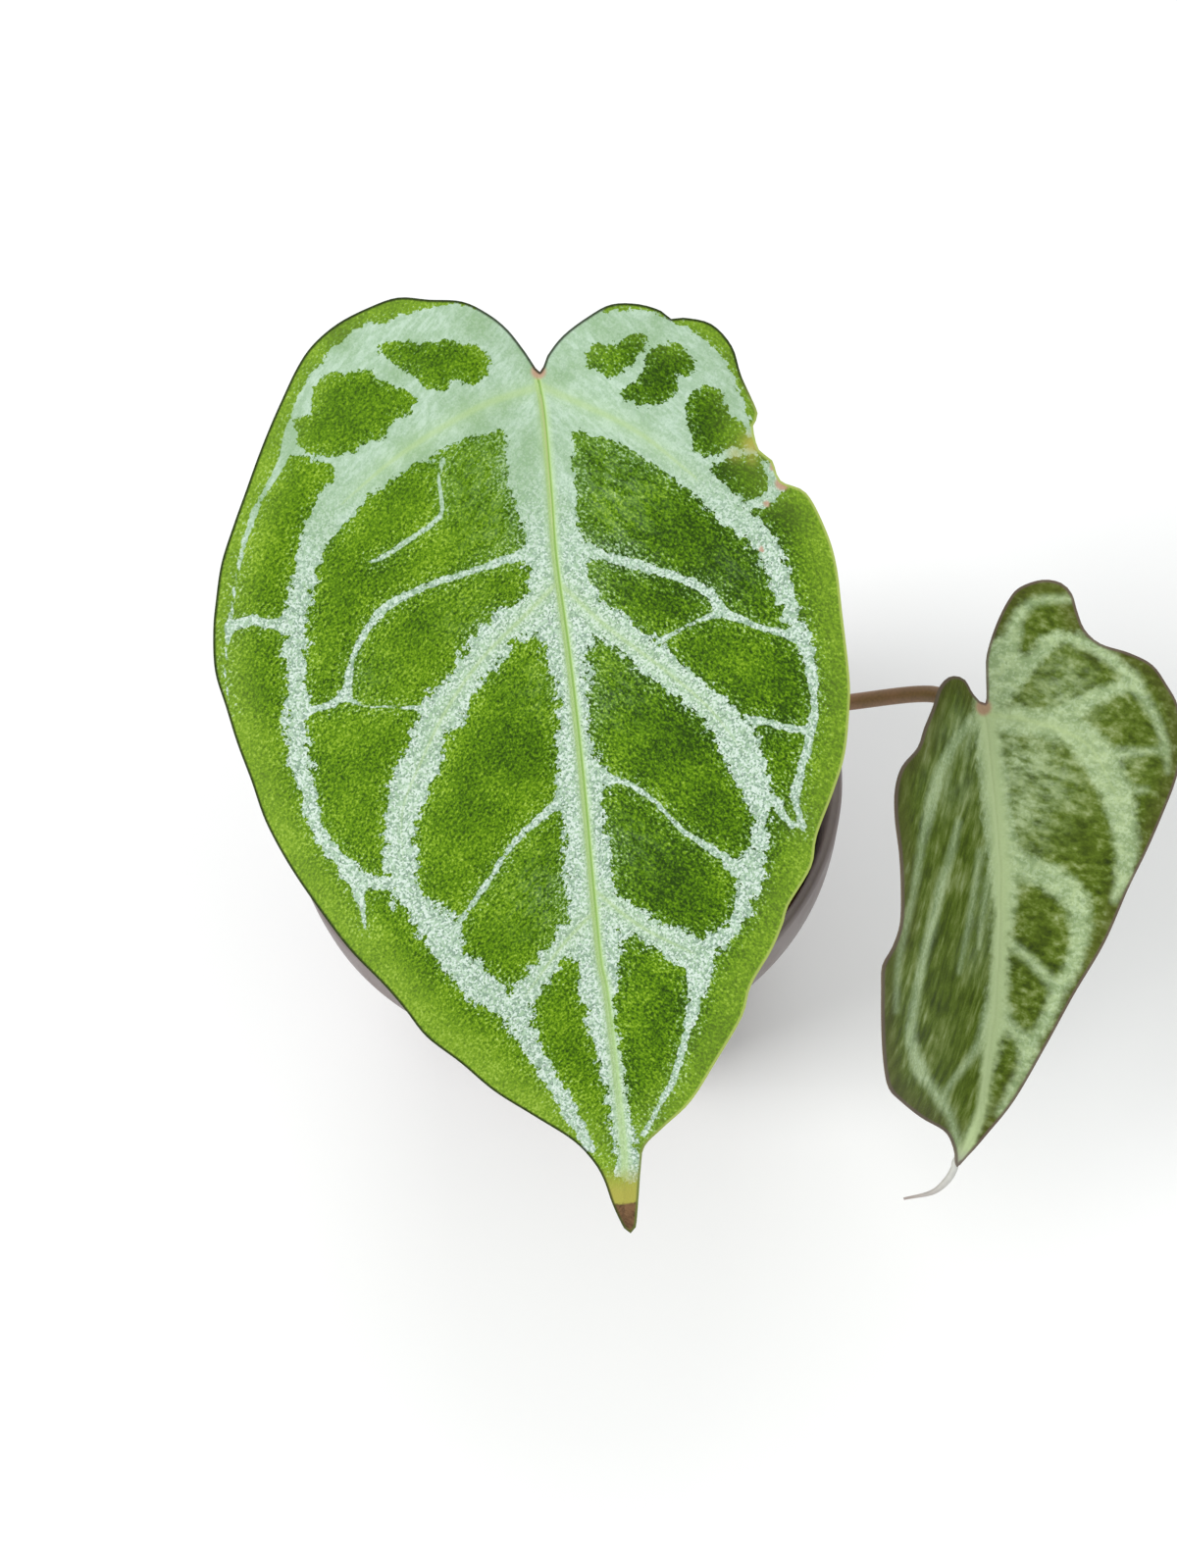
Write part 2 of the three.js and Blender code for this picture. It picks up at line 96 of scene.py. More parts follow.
def add(tree, kind, inputs=(), give=None, **settings):
    """A shader node with its settings. Its inputs, given by name or number or in their own order,
    are linked or take a value or a colour's hex code. Returns the output called give, or else the
    first that is in use."""
    node = tree.nodes.new("ShaderNode" + kind)
    for name, value in settings.items():
        setattr(node, name, value)
    for name, value in inputs.items() if isinstance(inputs, dict) else enumerate(inputs):
        if isinstance(value, bpy.types.NodeSocket):
            tree.links.new(value, node.inputs[name])
        else:
            node.inputs[name].default_value = linear(value) if isinstance(value, str) else value
    first = next((output for output in node.outputs if output.enabled), None)
    return node.outputs[give] if give else first


def new_material(name):
    """A material whose node tree is still empty."""
    material = bpy.data.materials.new(name)
    material.use_nodes = True
    material.node_tree.nodes.clear()
    return material, material.node_tree


def object_from(name, bm):
    """A bmesh as an object at the origin, with all its faces smooth."""
    mesh = bpy.data.meshes.new(name)
    bm.to_mesh(mesh)
    bm.free()
    mesh.polygons.foreach_set("use_smooth", [True] * len(mesh.polygons))
    piece = bpy.data.objects.new(name, mesh)
    scene.collection.objects.link(piece)
    return piece


FLOOR_SIDE = 9
FLOOR_DROP = 0.2 * MM
PAPER_FIBRE = 1.5 * MM
PAPER_RELIEF = 0.1 * MM

bm = bmesh.new()
bmesh.ops.create_grid(bm, x_segments=1, y_segments=1, size=FLOOR_SIDE / 2)
bmesh.ops.translate(bm, verts=bm.verts, vec=(0, 0, -FLOOR_DROP))
floor = object_from("floor", bm)
material, tree = new_material("matt_white_paper")
grain = add(tree, "TexNoise", {"Vector": add(tree, "TexCoord", give="Object"), "Scale": 1 / PAPER_FIBRE})
bump = add(tree, "Bump", {"Height": grain, "Strength": 0.1, "Distance": PAPER_RELIEF})
paper = add(tree, "BsdfPrincipled", {
    "Base Color": "#f7f7f6",
    "Roughness": 0.9,
    "Specular IOR Level": 0.2,
    "Normal": bump,
})
add(tree, "OutputMaterial", [paper])
floor.data.materials.append(material)

# The pot: a nursery pot of taupe polypropylene, injection moulded in one piece. The wall is thin
# and tapers to the foot, a straight collar stiffens the rim, and the floor has eight drain holes.
POT_STEPS = 160
EDGE_ROUND = 0.35
SHARP_FROM = math.radians(14)
DRAIN_RADIUS = 4
DRAIN_RING = 24
DRAIN_HOLES = 8
DRAIN_SIDES = 32
DRILL_MIDDLE = 3
DRILL_DEPTH = 8
DRILL_TURN = math.radians(4)
# The wall's section, radius and height: the underside with its raised channel, the outside up to
# the collar and the rim, and the inside back down to the floor.
POT_PROFILE = [
    (0, 0), (14, 0), (17, 2.4), (31, 2.4), (34, 0), (38.5, 0), (39.8, 1.2),
    (56.5, 75), (58.4, 76), (58.7, 80), (59, 88.8), (58.4, 90),
    (57.1, 90), (56.5, 88.8), (55.6, 76), (54.7, 74), (39.4, 4.5), (36.5, 2.2),
    (34, 2.2), (31, 4), (17, 4), (14, 2.2), (0, 2.2),
]

bm = bmesh.new()
corners = [bm.verts.new((radius * MM, 0, height * MM)) for radius, height in POT_PROFILE]
edges = [bm.edges.new(pair) for pair in zip(corners, corners[1:])]
bmesh.ops.spin(
    bm, geom=corners + edges, axis=(0, 0, 1), cent=(0, 0, 0), angle=2 * math.pi,
    steps=POT_STEPS, use_merge=True,
)
bmesh.ops.remove_doubles(bm, verts=bm.verts, dist=0.01 * MM)
bmesh.ops.recalc_face_normals(bm, faces=bm.faces)
creases = [e for e in bm.edges if e.is_manifold and e.calc_face_angle(0) > SHARP_FROM]
bmesh.ops.bevel(
    bm, geom=creases, affect="EDGES", offset=EDGE_ROUND * MM, segments=2, profile=0.5,
    clamp_overlap=True, material=-1,
)
pot = object_from("nursery_pot", bm)

drills = bmesh.new()
for hole in range(DRAIN_HOLES):
    angle = (hole + 0.5) * 2 * math.pi / DRAIN_HOLES
    middle = Vector((DRAIN_RING * math.cos(angle), DRAIN_RING * math.sin(angle), DRILL_MIDDLE))
    turned = Matrix.Translation(middle * MM) @ Matrix.Rotation(DRILL_TURN, 4, "Z")
    bmesh.ops.create_cone(
        drills, cap_ends=True, segments=DRAIN_SIDES, radius1=DRAIN_RADIUS * MM,
        radius2=DRAIN_RADIUS * MM, depth=DRILL_DEPTH * MM, matrix=turned,
    )
drill = object_from("drills", drills)
cut = pot.modifiers.new("drain holes", "BOOLEAN")
cut.operation = "DIFFERENCE"
cut.object = drill


def settle(piece):
    """Applies a piece's modifiers to its mesh."""
    graph = bpy.context.evaluated_depsgraph_get()
    shaped = bpy.data.meshes.new_from_object(piece.evaluated_get(graph))
    piece.modifiers.clear()
    old = piece.data
    piece.data = shaped
    bpy.data.meshes.remove(old)


settle(pot)
bpy.data.objects.remove(drill)
pot.data.set_sharp_from_angle(angle=math.radians(50))

# Injection-moulded polypropylene: an even satin with a fine orange-peel from the mould, a little
# flow streaking up the wall, and a film of dried water and dust that makes patches duller.
ORANGE_PEEL = 0.6 * MM
FLOW_STREAK = 9 * MM
DUST_PATCH = 16 * MM
PEEL_RELIEF = 0.06 * MM
TIMES = {"operation": "MULTIPLY"}
COLOUR = {"data_type": "RGBA"}

material, tree = new_material("taupe_polypropylene")
at = add(tree, "TexCoord", give="Object")
drawn = add(tree, "Mapping", {"Vector": at, "Scale": (1, 1, 0.12)})
streaks = add(tree, "TexNoise", {"Vector": drawn, "Scale": 1 / FLOW_STREAK, "Detail": 3.0})
dust = add(tree, "TexNoise", {"Vector": at, "Scale": 1 / DUST_PATCH, "Detail": 5.0, "Roughness": 0.6})
peel = add(tree, "TexNoise", {"Vector": at, "Scale": 1 / ORANGE_PEEL, "Detail": 2.0})
flow = add(tree, "MapRange", [streaks, 0.25, 0.75])
film = add(tree, "MapRange", [dust, 0.45, 0.7])
plastic = add(tree, "Mix", {0: flow, 6: "#6b5f5f", 7: "#756866"}, **COLOUR)
haze = add(tree, "Math", [film, 0.22], **TIMES)
dusty = add(tree, "Mix", {0: haze, 6: plastic, 7: "#978b82"}, **COLOUR)
dull = add(tree, "MapRange", {"Value": film, "To Min": 0.38, "To Max": 0.62})
bump = add(tree, "Bump", {"Height": peel, "Strength": 0.25, "Distance": PEEL_RELIEF})
body = add(tree, "BsdfPrincipled", {
    "Base Color": dusty,
    "Roughness": dull,
    "IOR": 1.49,
    "Normal": bump,
})
add(tree, "OutputMaterial", [body])
pot.data.materials.append(material)
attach(pot, "root")
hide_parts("pot")

# The potting mix: composted bark chips, pressed round the stem, filling the pot to below its
# collar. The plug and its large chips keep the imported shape, roughened, and small chips and a
# few grains of perlite lie among them.
MIX_TOP = 74
GROUND_EDGE = 1.5
BARK_LUMP = 3.2
BARK_PIT = 1.1
BARK_ROUGHNESS = 0.75
TONE_PATCH = 7
SMALL_CHIPS = 620
CHIP_LEAST = 1.6
CHIP_GROWTH = 5.6
CHIP_BEVEL = 0.16
CHIP_JAG = 0.35
PERLITE_GRAINS = 46
PERLITE_RADII = (0.8, 1.5)
MIX_FIELD = 52
RAY_FROM = 140
STEM_CLEAR = 9
rng = random.Random(7)


def packed(node):
    """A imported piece's shape, with its loose triangles merged into one skin."""
    bm = bmesh.new()
    bm.from_mesh(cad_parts[node].data)
    bmesh.ops.remove_doubles(bm, verts=bm.verts, dist=0.005 * MM)
    return bm


bm = packed("potting_mix")
for _ in range(3):
    long = [e for e in bm.edges if e.calc_length() > GROUND_EDGE * MM
            and min(v.co.z for v in e.verts) > MIX_TOP * MM]
    bmesh.ops.subdivide_edges(bm, edges=long, cuts=1)
bmesh.ops.triangulate(bm, faces=bm.faces)
bm.normal_update()
for vert in bm.verts:
    if vert.co.z > MIX_TOP * MM:
        at = vert.co / MM
        coarse = noise.noise(at / BARK_LUMP)
        fine = noise.noise(at / BARK_PIT + Vector((9, 0, 0)))
        vert.co += vert.normal * (coarse * 0.9 + fine * 0.5) * BARK_ROUGHNESS * MM
ground = BVHTree.FromBMesh(bm)
tone = bm.verts.layers.float.new("tone")
for vert in bm.verts:
    vert[tone] = 0.35 + 0.9 * noise.noise(vert.co / MM / TONE_PATCH)


def scatter(count, clear, spread):
    """Seeded places on the mix's top and its slope there, spread evenly by the golden angle."""
    for i in range(count):
        out = clear + (MIX_FIELD - clear) * math.sqrt((i + 0.5) / count)
        angle = i * math.pi * (3 - math.sqrt(5)) + rng.uniform(-spread, spread)
        above = Vector((out * math.cos(angle), out * math.sin(angle), RAY_FROM)) * MM
        hit = ground.ray_cast(above, Vector((0, 0, -1)))
        if hit[0] is not None:
            yield hit[0], hit[1]


def crumb(bm, centre, normal, size, layer):
    """One small angular piece: a cube with rounded edges, knocked out of shape. Its corners are
    taken in the order of their places, so that every run gives the same chips."""
    upright = Vector((0, 0, 1)).rotation_difference(normal).to_matrix().to_4x4()
    spin = Matrix.Rotation(rng.uniform(0, 2 * math.pi), 4, "Z")
    made = bmesh.ops.create_cube(bm, size=1.0)["verts"]
    edges = {e for v in made for e in v.link_edges}
    cut = bmesh.ops.bevel(
        bm, geom=list(edges), affect="EDGES", offset=CHIP_BEVEL, segments=1, profile=0.5, material=-1,
    )
    shade = rng.random()
    corners = {v for f in cut["faces"] for v in f.verts}
    for vert in sorted(corners, key=lambda v: v.co[:]):
        knock = Vector([rng.uniform(1 - CHIP_JAG, 1) for _ in range(3)])
        vert.co = Vector([c * k * s for c, k, s in zip(vert.co, knock, size)])
        vert.co = centre + upright @ spin @ vert.co
        vert[layer] = shade


for centre, normal in scatter(SMALL_CHIPS, STEM_CLEAR, 0.6):
    long = (CHIP_LEAST + CHIP_GROWTH * rng.random() ** 2) * MM
    size = (long, long * rng.uniform(0.35, 0.8), long * rng.uniform(0.2, 0.45))
    tilt = Vector([rng.uniform(-0.5, 0.5) for _ in range(3)])
    crumb(bm, centre, (normal + tilt).normalized(), size, tone)
mix = object_from("bark_mix", bm)
mix.data.set_sharp_from_angle(angle=math.radians(38))

bm = bmesh.new()
for centre, normal in scatter(PERLITE_GRAINS, STEM_CLEAR + 2, 2.5):
    radius = rng.uniform(*PERLITE_RADII) * MM
    for vert in bmesh.ops.create_icosphere(bm, subdivisions=2, radius=1.0)["verts"]:
        lump = 1 + 0.9 * noise.noise(vert.co * 1.3 + centre / MM)
        vert.co = centre + normal * 0.4 * radius + vert.co * radius * lump
perlite = object_from("perlite", bm)

# Composted pine bark: dull, from near black where it is wet to red brown and weathered grey, with
# the fine grain of cork plates across each chip.
BARK_GRAIN = 0.7 * MM
BARK_PLATE = 2.6 * MM
BARK_RELIEF = 0.35 * MM
TOTAL = {"operation": "MULTIPLY_ADD"}
BARK_STOPS = [(0.12, "#22160f"), (0.35, "#3d291c"), (0.55, "#5c3f2b"), (0.72, "#7a5439"), (0.95, "#a08a70")]


def set_stops(ramp, stops):
    """Gives a colour ramp its stops, each a position and a hex code."""
    for position, _ in stops[1:-1]:
        ramp.elements.new(position)
    for element, (position, code) in zip(ramp.elements, stops):
        element.position = position
        element.color = linear(code)


material, tree = new_material("composted_bark")
at = add(tree, "TexCoord", give="Object")
tone = add(tree, "Attribute", give="Fac", attribute_name="tone")
fibre = add(tree, "TexNoise", {"Vector": at, "Scale": 1 / BARK_GRAIN, "Detail": 4.0, "Roughness": 0.7})
plates = add(tree, "TexNoise", {"Vector": at, "Scale": 1 / BARK_PLATE, "Detail": 3.0, "Distortion": 1.2})
mixed = add(tree, "Math", [plates, 0.7, tone], **TOTAL)
scaled = add(tree, "Math", [mixed, 0.62], **TIMES)
bark = add(tree, "ValToRGB", {"Fac": scaled})
set_stops(bark.node.color_ramp, BARK_STOPS)
flecks = add(tree, "MapRange", [fibre, 0.35, 0.7, 0.72, 1.2])
shaded = add(tree, "VectorMath", {0: bark, "Scale": flecks}, operation="SCALE")
height = add(tree, "Math", [plates, 2.0, fibre], **TOTAL)
bump = add(tree, "Bump", {"Height": height, "Strength": 0.7, "Distance": BARK_RELIEF})
body = add(tree, "BsdfPrincipled", {
    "Base Color": shaded,
    "Roughness": 0.88,
    "Specular IOR Level": 0.3,
    "Normal": bump,
})
add(tree, "OutputMaterial", [body])
mix.data.materials.append(material)
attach(mix, "root")
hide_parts("potting_mix")

# Expanded perlite: white volcanic glass foam, stained a little by the bark.
PERLITE_PORE = 0.5 * MM
PERLITE_STAIN = 3 * MM
PERLITE_RELIEF = 0.2 * MM

material, tree = new_material("perlite_foam")
at = add(tree, "TexCoord", give="Object")
pores = add(tree, "TexVoronoi", {"Vector": at, "Scale": 1 / PERLITE_PORE})
stain = add(tree, "TexNoise", {"Vector": at, "Scale": 1 / PERLITE_STAIN})
colour = add(tree, "Mix", {0: stain, 6: "#f0ece2", 7: "#b9a58c"}, **COLOUR)
bump = add(tree, "Bump", {"Height": pores, "Strength": 0.6, "Distance": PERLITE_RELIEF})
body = add(tree, "BsdfPrincipled", {"Base Color": colour, "Roughness": 0.9, "Normal": bump})
add(tree, "OutputMaterial", [body])
perlite.data.materials.append(material)
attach(perlite, "root")
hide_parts("potting_mix")

# The stem: a short green stalk ringed with old leaf scars, from which fleshy air roots arch into
# the mix. It grew as one piece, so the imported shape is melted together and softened.
STEM_VOXEL = 0.42
STEM_LUMP = 2.4
STEM_PIT = 0.8
STEM_MIDDLE = 1
STALK_REACH = 7
SCAR_PITCH = 4.6
SCAR_DEPTH = 0.35

stem = object_from("rooted_stem", packed("stem"))
melt = stem.modifiers.new("melt", "REMESH")
melt.mode = "VOXEL"
melt.voxel_size = STEM_VOXEL * MM
soften = stem.modifiers.new("soften", "SMOOTH")
soften.factor = 0.7
soften.iterations = 6
settle(stem)
bm = bmesh.new()
bm.from_mesh(stem.data)
bm.normal_update()
for vert in bm.verts:
    at = vert.co / MM
    lift = 0.35 * noise.noise(at / STEM_LUMP) + 0.14 * noise.noise(at / STEM_PIT)
    if math.hypot(at.x, at.y - STEM_MIDDLE) < STALK_REACH:
        lift -= SCAR_DEPTH * max(0.0, math.cos(2 * math.pi * at.z / SCAR_PITCH)) ** 8
    vert.co += vert.normal * lift * MM
bm.to_mesh(stem.data)
bm.free()
stem.data.polygons.foreach_set("use_smooth", [True] * len(stem.data.polygons))

# Living stem and air roots: a waxy olive skin, corky and tan where it has aged, with short fibres.
CORK_PATCH = 5 * MM
CORK_FIBRE = 0.5 * MM
CORK_RELIEF = 0.25 * MM

material, tree = new_material("aroid_stem_skin")
at = add(tree, "TexCoord", give="Object")
patch = add(tree, "TexNoise", {"Vector": at, "Scale": 1 / CORK_PATCH, "Detail": 4.0, "Roughness": 0.65})
stretched = add(tree, "Mapping", {"Vector": at, "Scale": (1, 1, 0.3)})
fibre = add(tree, "TexNoise", {"Vector": stretched, "Scale": 1 / CORK_FIBRE, "Detail": 3.0})
aged = add(tree, "MapRange", [patch, 0.42, 0.58])
skin = add(tree, "Mix", {0: aged, 6: "#6f7a35", 7: "#8d7048"}, **COLOUR)
flecks = add(tree, "MapRange", [fibre, 0.3, 0.7, 0.6, 1.15])
shaded = add(tree, "VectorMath", {0: skin, "Scale": flecks}, operation="SCALE")
bump = add(tree, "Bump", {"Height": fibre, "Strength": 0.6, "Distance": CORK_RELIEF})
body = add(tree, "BsdfPrincipled", {
    "Base Color": shaded,
    "Roughness": 0.6,
    "Specular IOR Level": 0.4,
    "Normal": bump,
})
add(tree, "OutputMaterial", [body])
stem.data.materials.append(material)
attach(stem, "root")
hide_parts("stem")

# The bracts: the sheaths that wrapped each new leaf, now dry, papery and split into fibres, still
# cupped round the stem at the foot of the leaf stalks.
BRACT_FIBRE = 0.6 * MM
BRACT_STAIN = 4 * MM
BRACT_RELIEF = 0.2 * MM
CRINKLE_PITCH = 2.2
CRINKLE_DEPTH = 0.45

material, tree = new_material("dry_papery_bract")
at = add(tree, "TexCoord", give="Object")
along = add(tree, "Mapping", {"Vector": at, "Scale": (1, 1, 0.08)})
fibre = add(tree, "TexNoise", {"Vector": along, "Scale": 1 / BRACT_FIBRE, "Detail": 3.0, "Roughness": 0.6})
patch = add(tree, "TexNoise", {"Vector": at, "Scale": 1 / BRACT_STAIN, "Detail": 3.0})
straw = add(tree, "MapRange", [fibre, 0.35, 0.65])
dry = add(tree, "Mix", {0: straw, 6: "#6b4a2c", 7: "#c2a274"}, **COLOUR)
stain = add(tree, "MapRange", {"Value": patch, "From Min": 0.45, "From Max": 0.7, "To Max": 0.7})
worn = add(tree, "Mix", {0: stain, 6: dry, 7: "#5a4030"}, **COLOUR)
bump = add(tree, "Bump", {"Height": fibre, "Strength": 0.8, "Distance": BRACT_RELIEF})
body = add(tree, "BsdfPrincipled", {"Base Color": worn, "Roughness": 0.75, "Normal": bump})
add(tree, "OutputMaterial", [body])

for node in ("bract_large", "bract_small"):
    bm = packed(node)
    bmesh.ops.subdivide_edges(bm, edges=bm.edges, cuts=2, use_grid_fill=True)
    bmesh.ops.smooth_vert(
        bm, verts=bm.verts, factor=0.4, use_axis_x=True, use_axis_y=True, use_axis_z=True,
    )
    for vert in bm.verts:
        at = vert.co / MM / CRINKLE_PITCH
        crinkle = Vector((noise.noise(at), noise.noise(at + Vector((5, 0, 0))), 0))
        vert.co += CRINKLE_DEPTH * crinkle * MM
    piece = object_from(node + "_papery", bm)
    piece.data.materials.append(material)
    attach(piece, "root")
    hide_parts(node)

# The petioles: solid round stalks, stiff and smooth, each with a swollen knuckle at the top that
# turns its blade to the light. They grow out of the stem's stubs.
MIX_LEVEL = 78
LEAF_LEAN = math.radians(28)
SMALL_LEAF_TURN = math.radians(-8.2)
LARGE_LEAF_BASE = Vector((4.3, 8.7, 208))
SMALL_LEAF_BASE = Vector((79.5, -25.9, 142))
KNUCKLE = 6
KNUCKLE_SWELL = 0.7
KNUCKLE_MIDDLE = 2.6
KNUCKLE_SPREAD = 2.4
BLADE_GAP = 0.3
FOOT_SWELL = 0.35
FOOT_FADE = 6
STUB_STEPS = (5, 7.3, 13.3)
PETIOLE_SIDES = 32
PETIOLES = {
    "petiole_large": {
        "foot": (-0.5, 2.2, MIX_LEVEL + 10), "rise": (0.04, 0.2, 1), "radius": 2.0,
        "route": [(1, 10, 128), (2.9, 15, 164), (4.1, 15.8, 188)],
        "blade": LARGE_LEAF_BASE, "seat": (0, -math.sin(LEAF_LEAN), math.cos(LEAF_LEAN)),
    },
    "petiole_small": {
        "foot": (2.0, 0.4, MIX_LEVEL + 9), "rise": (0.72, -0.08, 0.7), "radius": 1.6,
        "route": [(33, -5.8, 115), (57, -12.5, 128.3), (71.6, -17.2, 136.2)],
        "blade": SMALL_LEAF_BASE, "seat": (0.5, -0.55, 0.67),
    },
}


def smooth_route(points, step, closed=False):
    """A smooth line through the points, about one point a step. Each row may hold more numbers,
    such as a width, and they are smoothed with it."""
    points = np.array(points, float)
    count = len(points)
    if closed:
        points = np.vstack([points[-1], points, points[:2]])
    else:
        points = np.vstack([2 * points[0] - points[1], points, 2 * points[-1] - points[-2]])
        count -= 1
    line = []
    for i in range(count):
        a, b, c, d = points[i:i + 4]
        pieces = max(1, round(float(np.linalg.norm((c - b)[:2])) / step))
        for t in np.arange(pieces) / pieces:
            line.append(0.5 * (2 * b + (c - a) * t + (2 * a - 5 * b + 4 * c - d) * t ** 2
                               + (3 * b - a - 3 * c + d) * t ** 3))
    if not closed:
        line.append(points[-2])
    return np.array(line)


def rod(name, line, radii, sides):
    """A round closed rod along a line of points in mm, with a radius in mm at each."""
    curve = bpy.data.curves.new(name, "CURVE")
    curve.dimensions = "3D"
    curve.bevel_depth = MM
    curve.bevel_resolution = sides // 4
    curve.use_fill_caps = True
    spline = curve.splines.new("POLY")
    spline.points.add(len(line) - 1)
    for point, place, radius in zip(spline.points, line, radii):
        point.co = (*(np.array(place) * MM), 1)
        point.radius = radius
    holder = bpy.data.objects.new(name, curve)
    scene.collection.objects.link(holder)
    mesh = bpy.data.meshes.new_from_object(holder.evaluated_get(bpy.context.evaluated_depsgraph_get()))
    bpy.data.objects.remove(holder)
    bm = bmesh.new()
    bm.from_mesh(mesh)
    bpy.data.meshes.remove(mesh)
    bmesh.ops.remove_doubles(bm, verts=bm.verts, dist=0.01 * MM)
    bmesh.ops.recalc_face_normals(bm, faces=bm.faces)
    return bm


# Petiole skin: smooth and waxy with a fine grain, blushed red brown in broad patches, with the
# olive brown of the tissue under it showing between them.
SKIN_GRAIN = 0.5 * MM
BLUSH_PATCH = 9 * MM
SKIN_RELIEF = 0.1 * MM

material, tree = new_material("petiole_skin")
at = add(tree, "TexCoord", give="Object")
blotch = add(tree, "TexNoise", {"Vector": at, "Scale": 1 / BLUSH_PATCH, "Detail": 3.0})
grain = add(tree, "TexNoise", {"Vector": at, "Scale": 1 / SKIN_GRAIN, "Detail": 2.0})
blush = add(tree, "MapRange", [blotch, 0.35, 0.65])
skin = add(tree, "Mix", {0: blush, 6: "#785a34", 7: "#8a6344"}, **COLOUR)
flecks = add(tree, "MapRange", [grain, 0.3, 0.7, 0.85, 1.1])
shaded = add(tree, "VectorMath", {0: skin, "Scale": flecks}, operation="SCALE")
bump = add(tree, "Bump", {"Height": grain, "Strength": 0.3, "Distance": SKIN_RELIEF})
body = add(tree, "BsdfPrincipled", {"Base Color": shaded, "Roughness": 0.42, "Normal": bump})
add(tree, "OutputMaterial", [body])

for node, stalk in PETIOLES.items():
    foot = Vector(stalk["foot"])
    rise = Vector(stalk["rise"]).normalized()
    seat = Vector(stalk["seat"]).normalized()
    top = stalk["blade"] - seat * BLADE_GAP
    route = [foot + rise * out for out in STUB_STEPS] + stalk["route"] + [top - seat * KNUCKLE, top]
    line = smooth_route([tuple(point) for point in route], 1.0)
    length = np.concatenate([[0], np.cumsum(np.linalg.norm(np.diff(line, axis=0), axis=1))])
    left = length[-1] - length
    radii = stalk["radius"] * (1 + FOOT_SWELL * np.exp(-length / FOOT_FADE))
    radii += KNUCKLE_SWELL * np.exp(-((left - KNUCKLE_MIDDLE) / KNUCKLE_SPREAD) ** 2)
    piece = object_from(node + "_stalk", rod(node, line, radii, PETIOLE_SIDES))
    piece.data.materials.append(material)
    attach(piece, "root")
    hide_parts(node)

# The large blade: one leathery, velvety sheet, heart shaped, with broad silver bands along its
# veins. Its outline runs from the notch down the left margin to the tip and back up the right,
# in mm, with the midrib along -Y, and the sheet is cut into a fine net before it is bent.
LARGE_OUTLINE = [
    (0.5, 2.5), (-1.5, 6), (-4, 10), (-7, 13), (-11, 15.5), (-16.5, 16.5), (-21.5, 17.5),
    (-26.5, 16.5), (-32, 14.5), (-36.5, 11.5), (-39.5, 8), (-42.5, 3), (-45, -1.5),
    (-47.5, -6.5), (-50, -12), (-52.5, -17.5), (-55, -23.5), (-56.5, -29.5), (-57.5, -34.5),
    (-58, -41), (-57, -47), (-56, -53), (-54.5, -59.5), (-53, -66.5), (-50, -74),
    (-46, -81.5), (-41.5, -89), (-36.5, -95.5), (-33.5, -100), (-30.5, -105), (-25.5, -110),
    (-20.5, -115.5), (-14.5, -120.5), (-8.5, -125.5), (-5.5, -129.5), (-4, -133),
    (-3, -137.5), (-1.5, -142), (-0.5, -143), (0.5, -142), (1.5, -137), (2.5, -131.5),
    (3.5, -128), (7, -125), (12, -121), (17, -114.5), (22, -107.5), (24, -102.5), (28, -97),
    (30.5, -92.5), (31.5, -90), (36, -84), (37.5, -79), (41, -72), (43.5, -66), (45, -58.5),
    (45.5, -53.5), (45.5, -43), (45.5, -35), (44.5, -29), (42, -22.5), (38, -20),
    (37, -16.5), (35, -14.5), (34.5, -10.5), (35.5, -8.5), (33.5, -2), (32.5, 3), (29.5, 7),
    (25, 8.5), (23, 8.5), (21.5, 10), (18, 11.5), (13.5, 12), (9.5, 10.5), (5, 8), (2, 5),
]
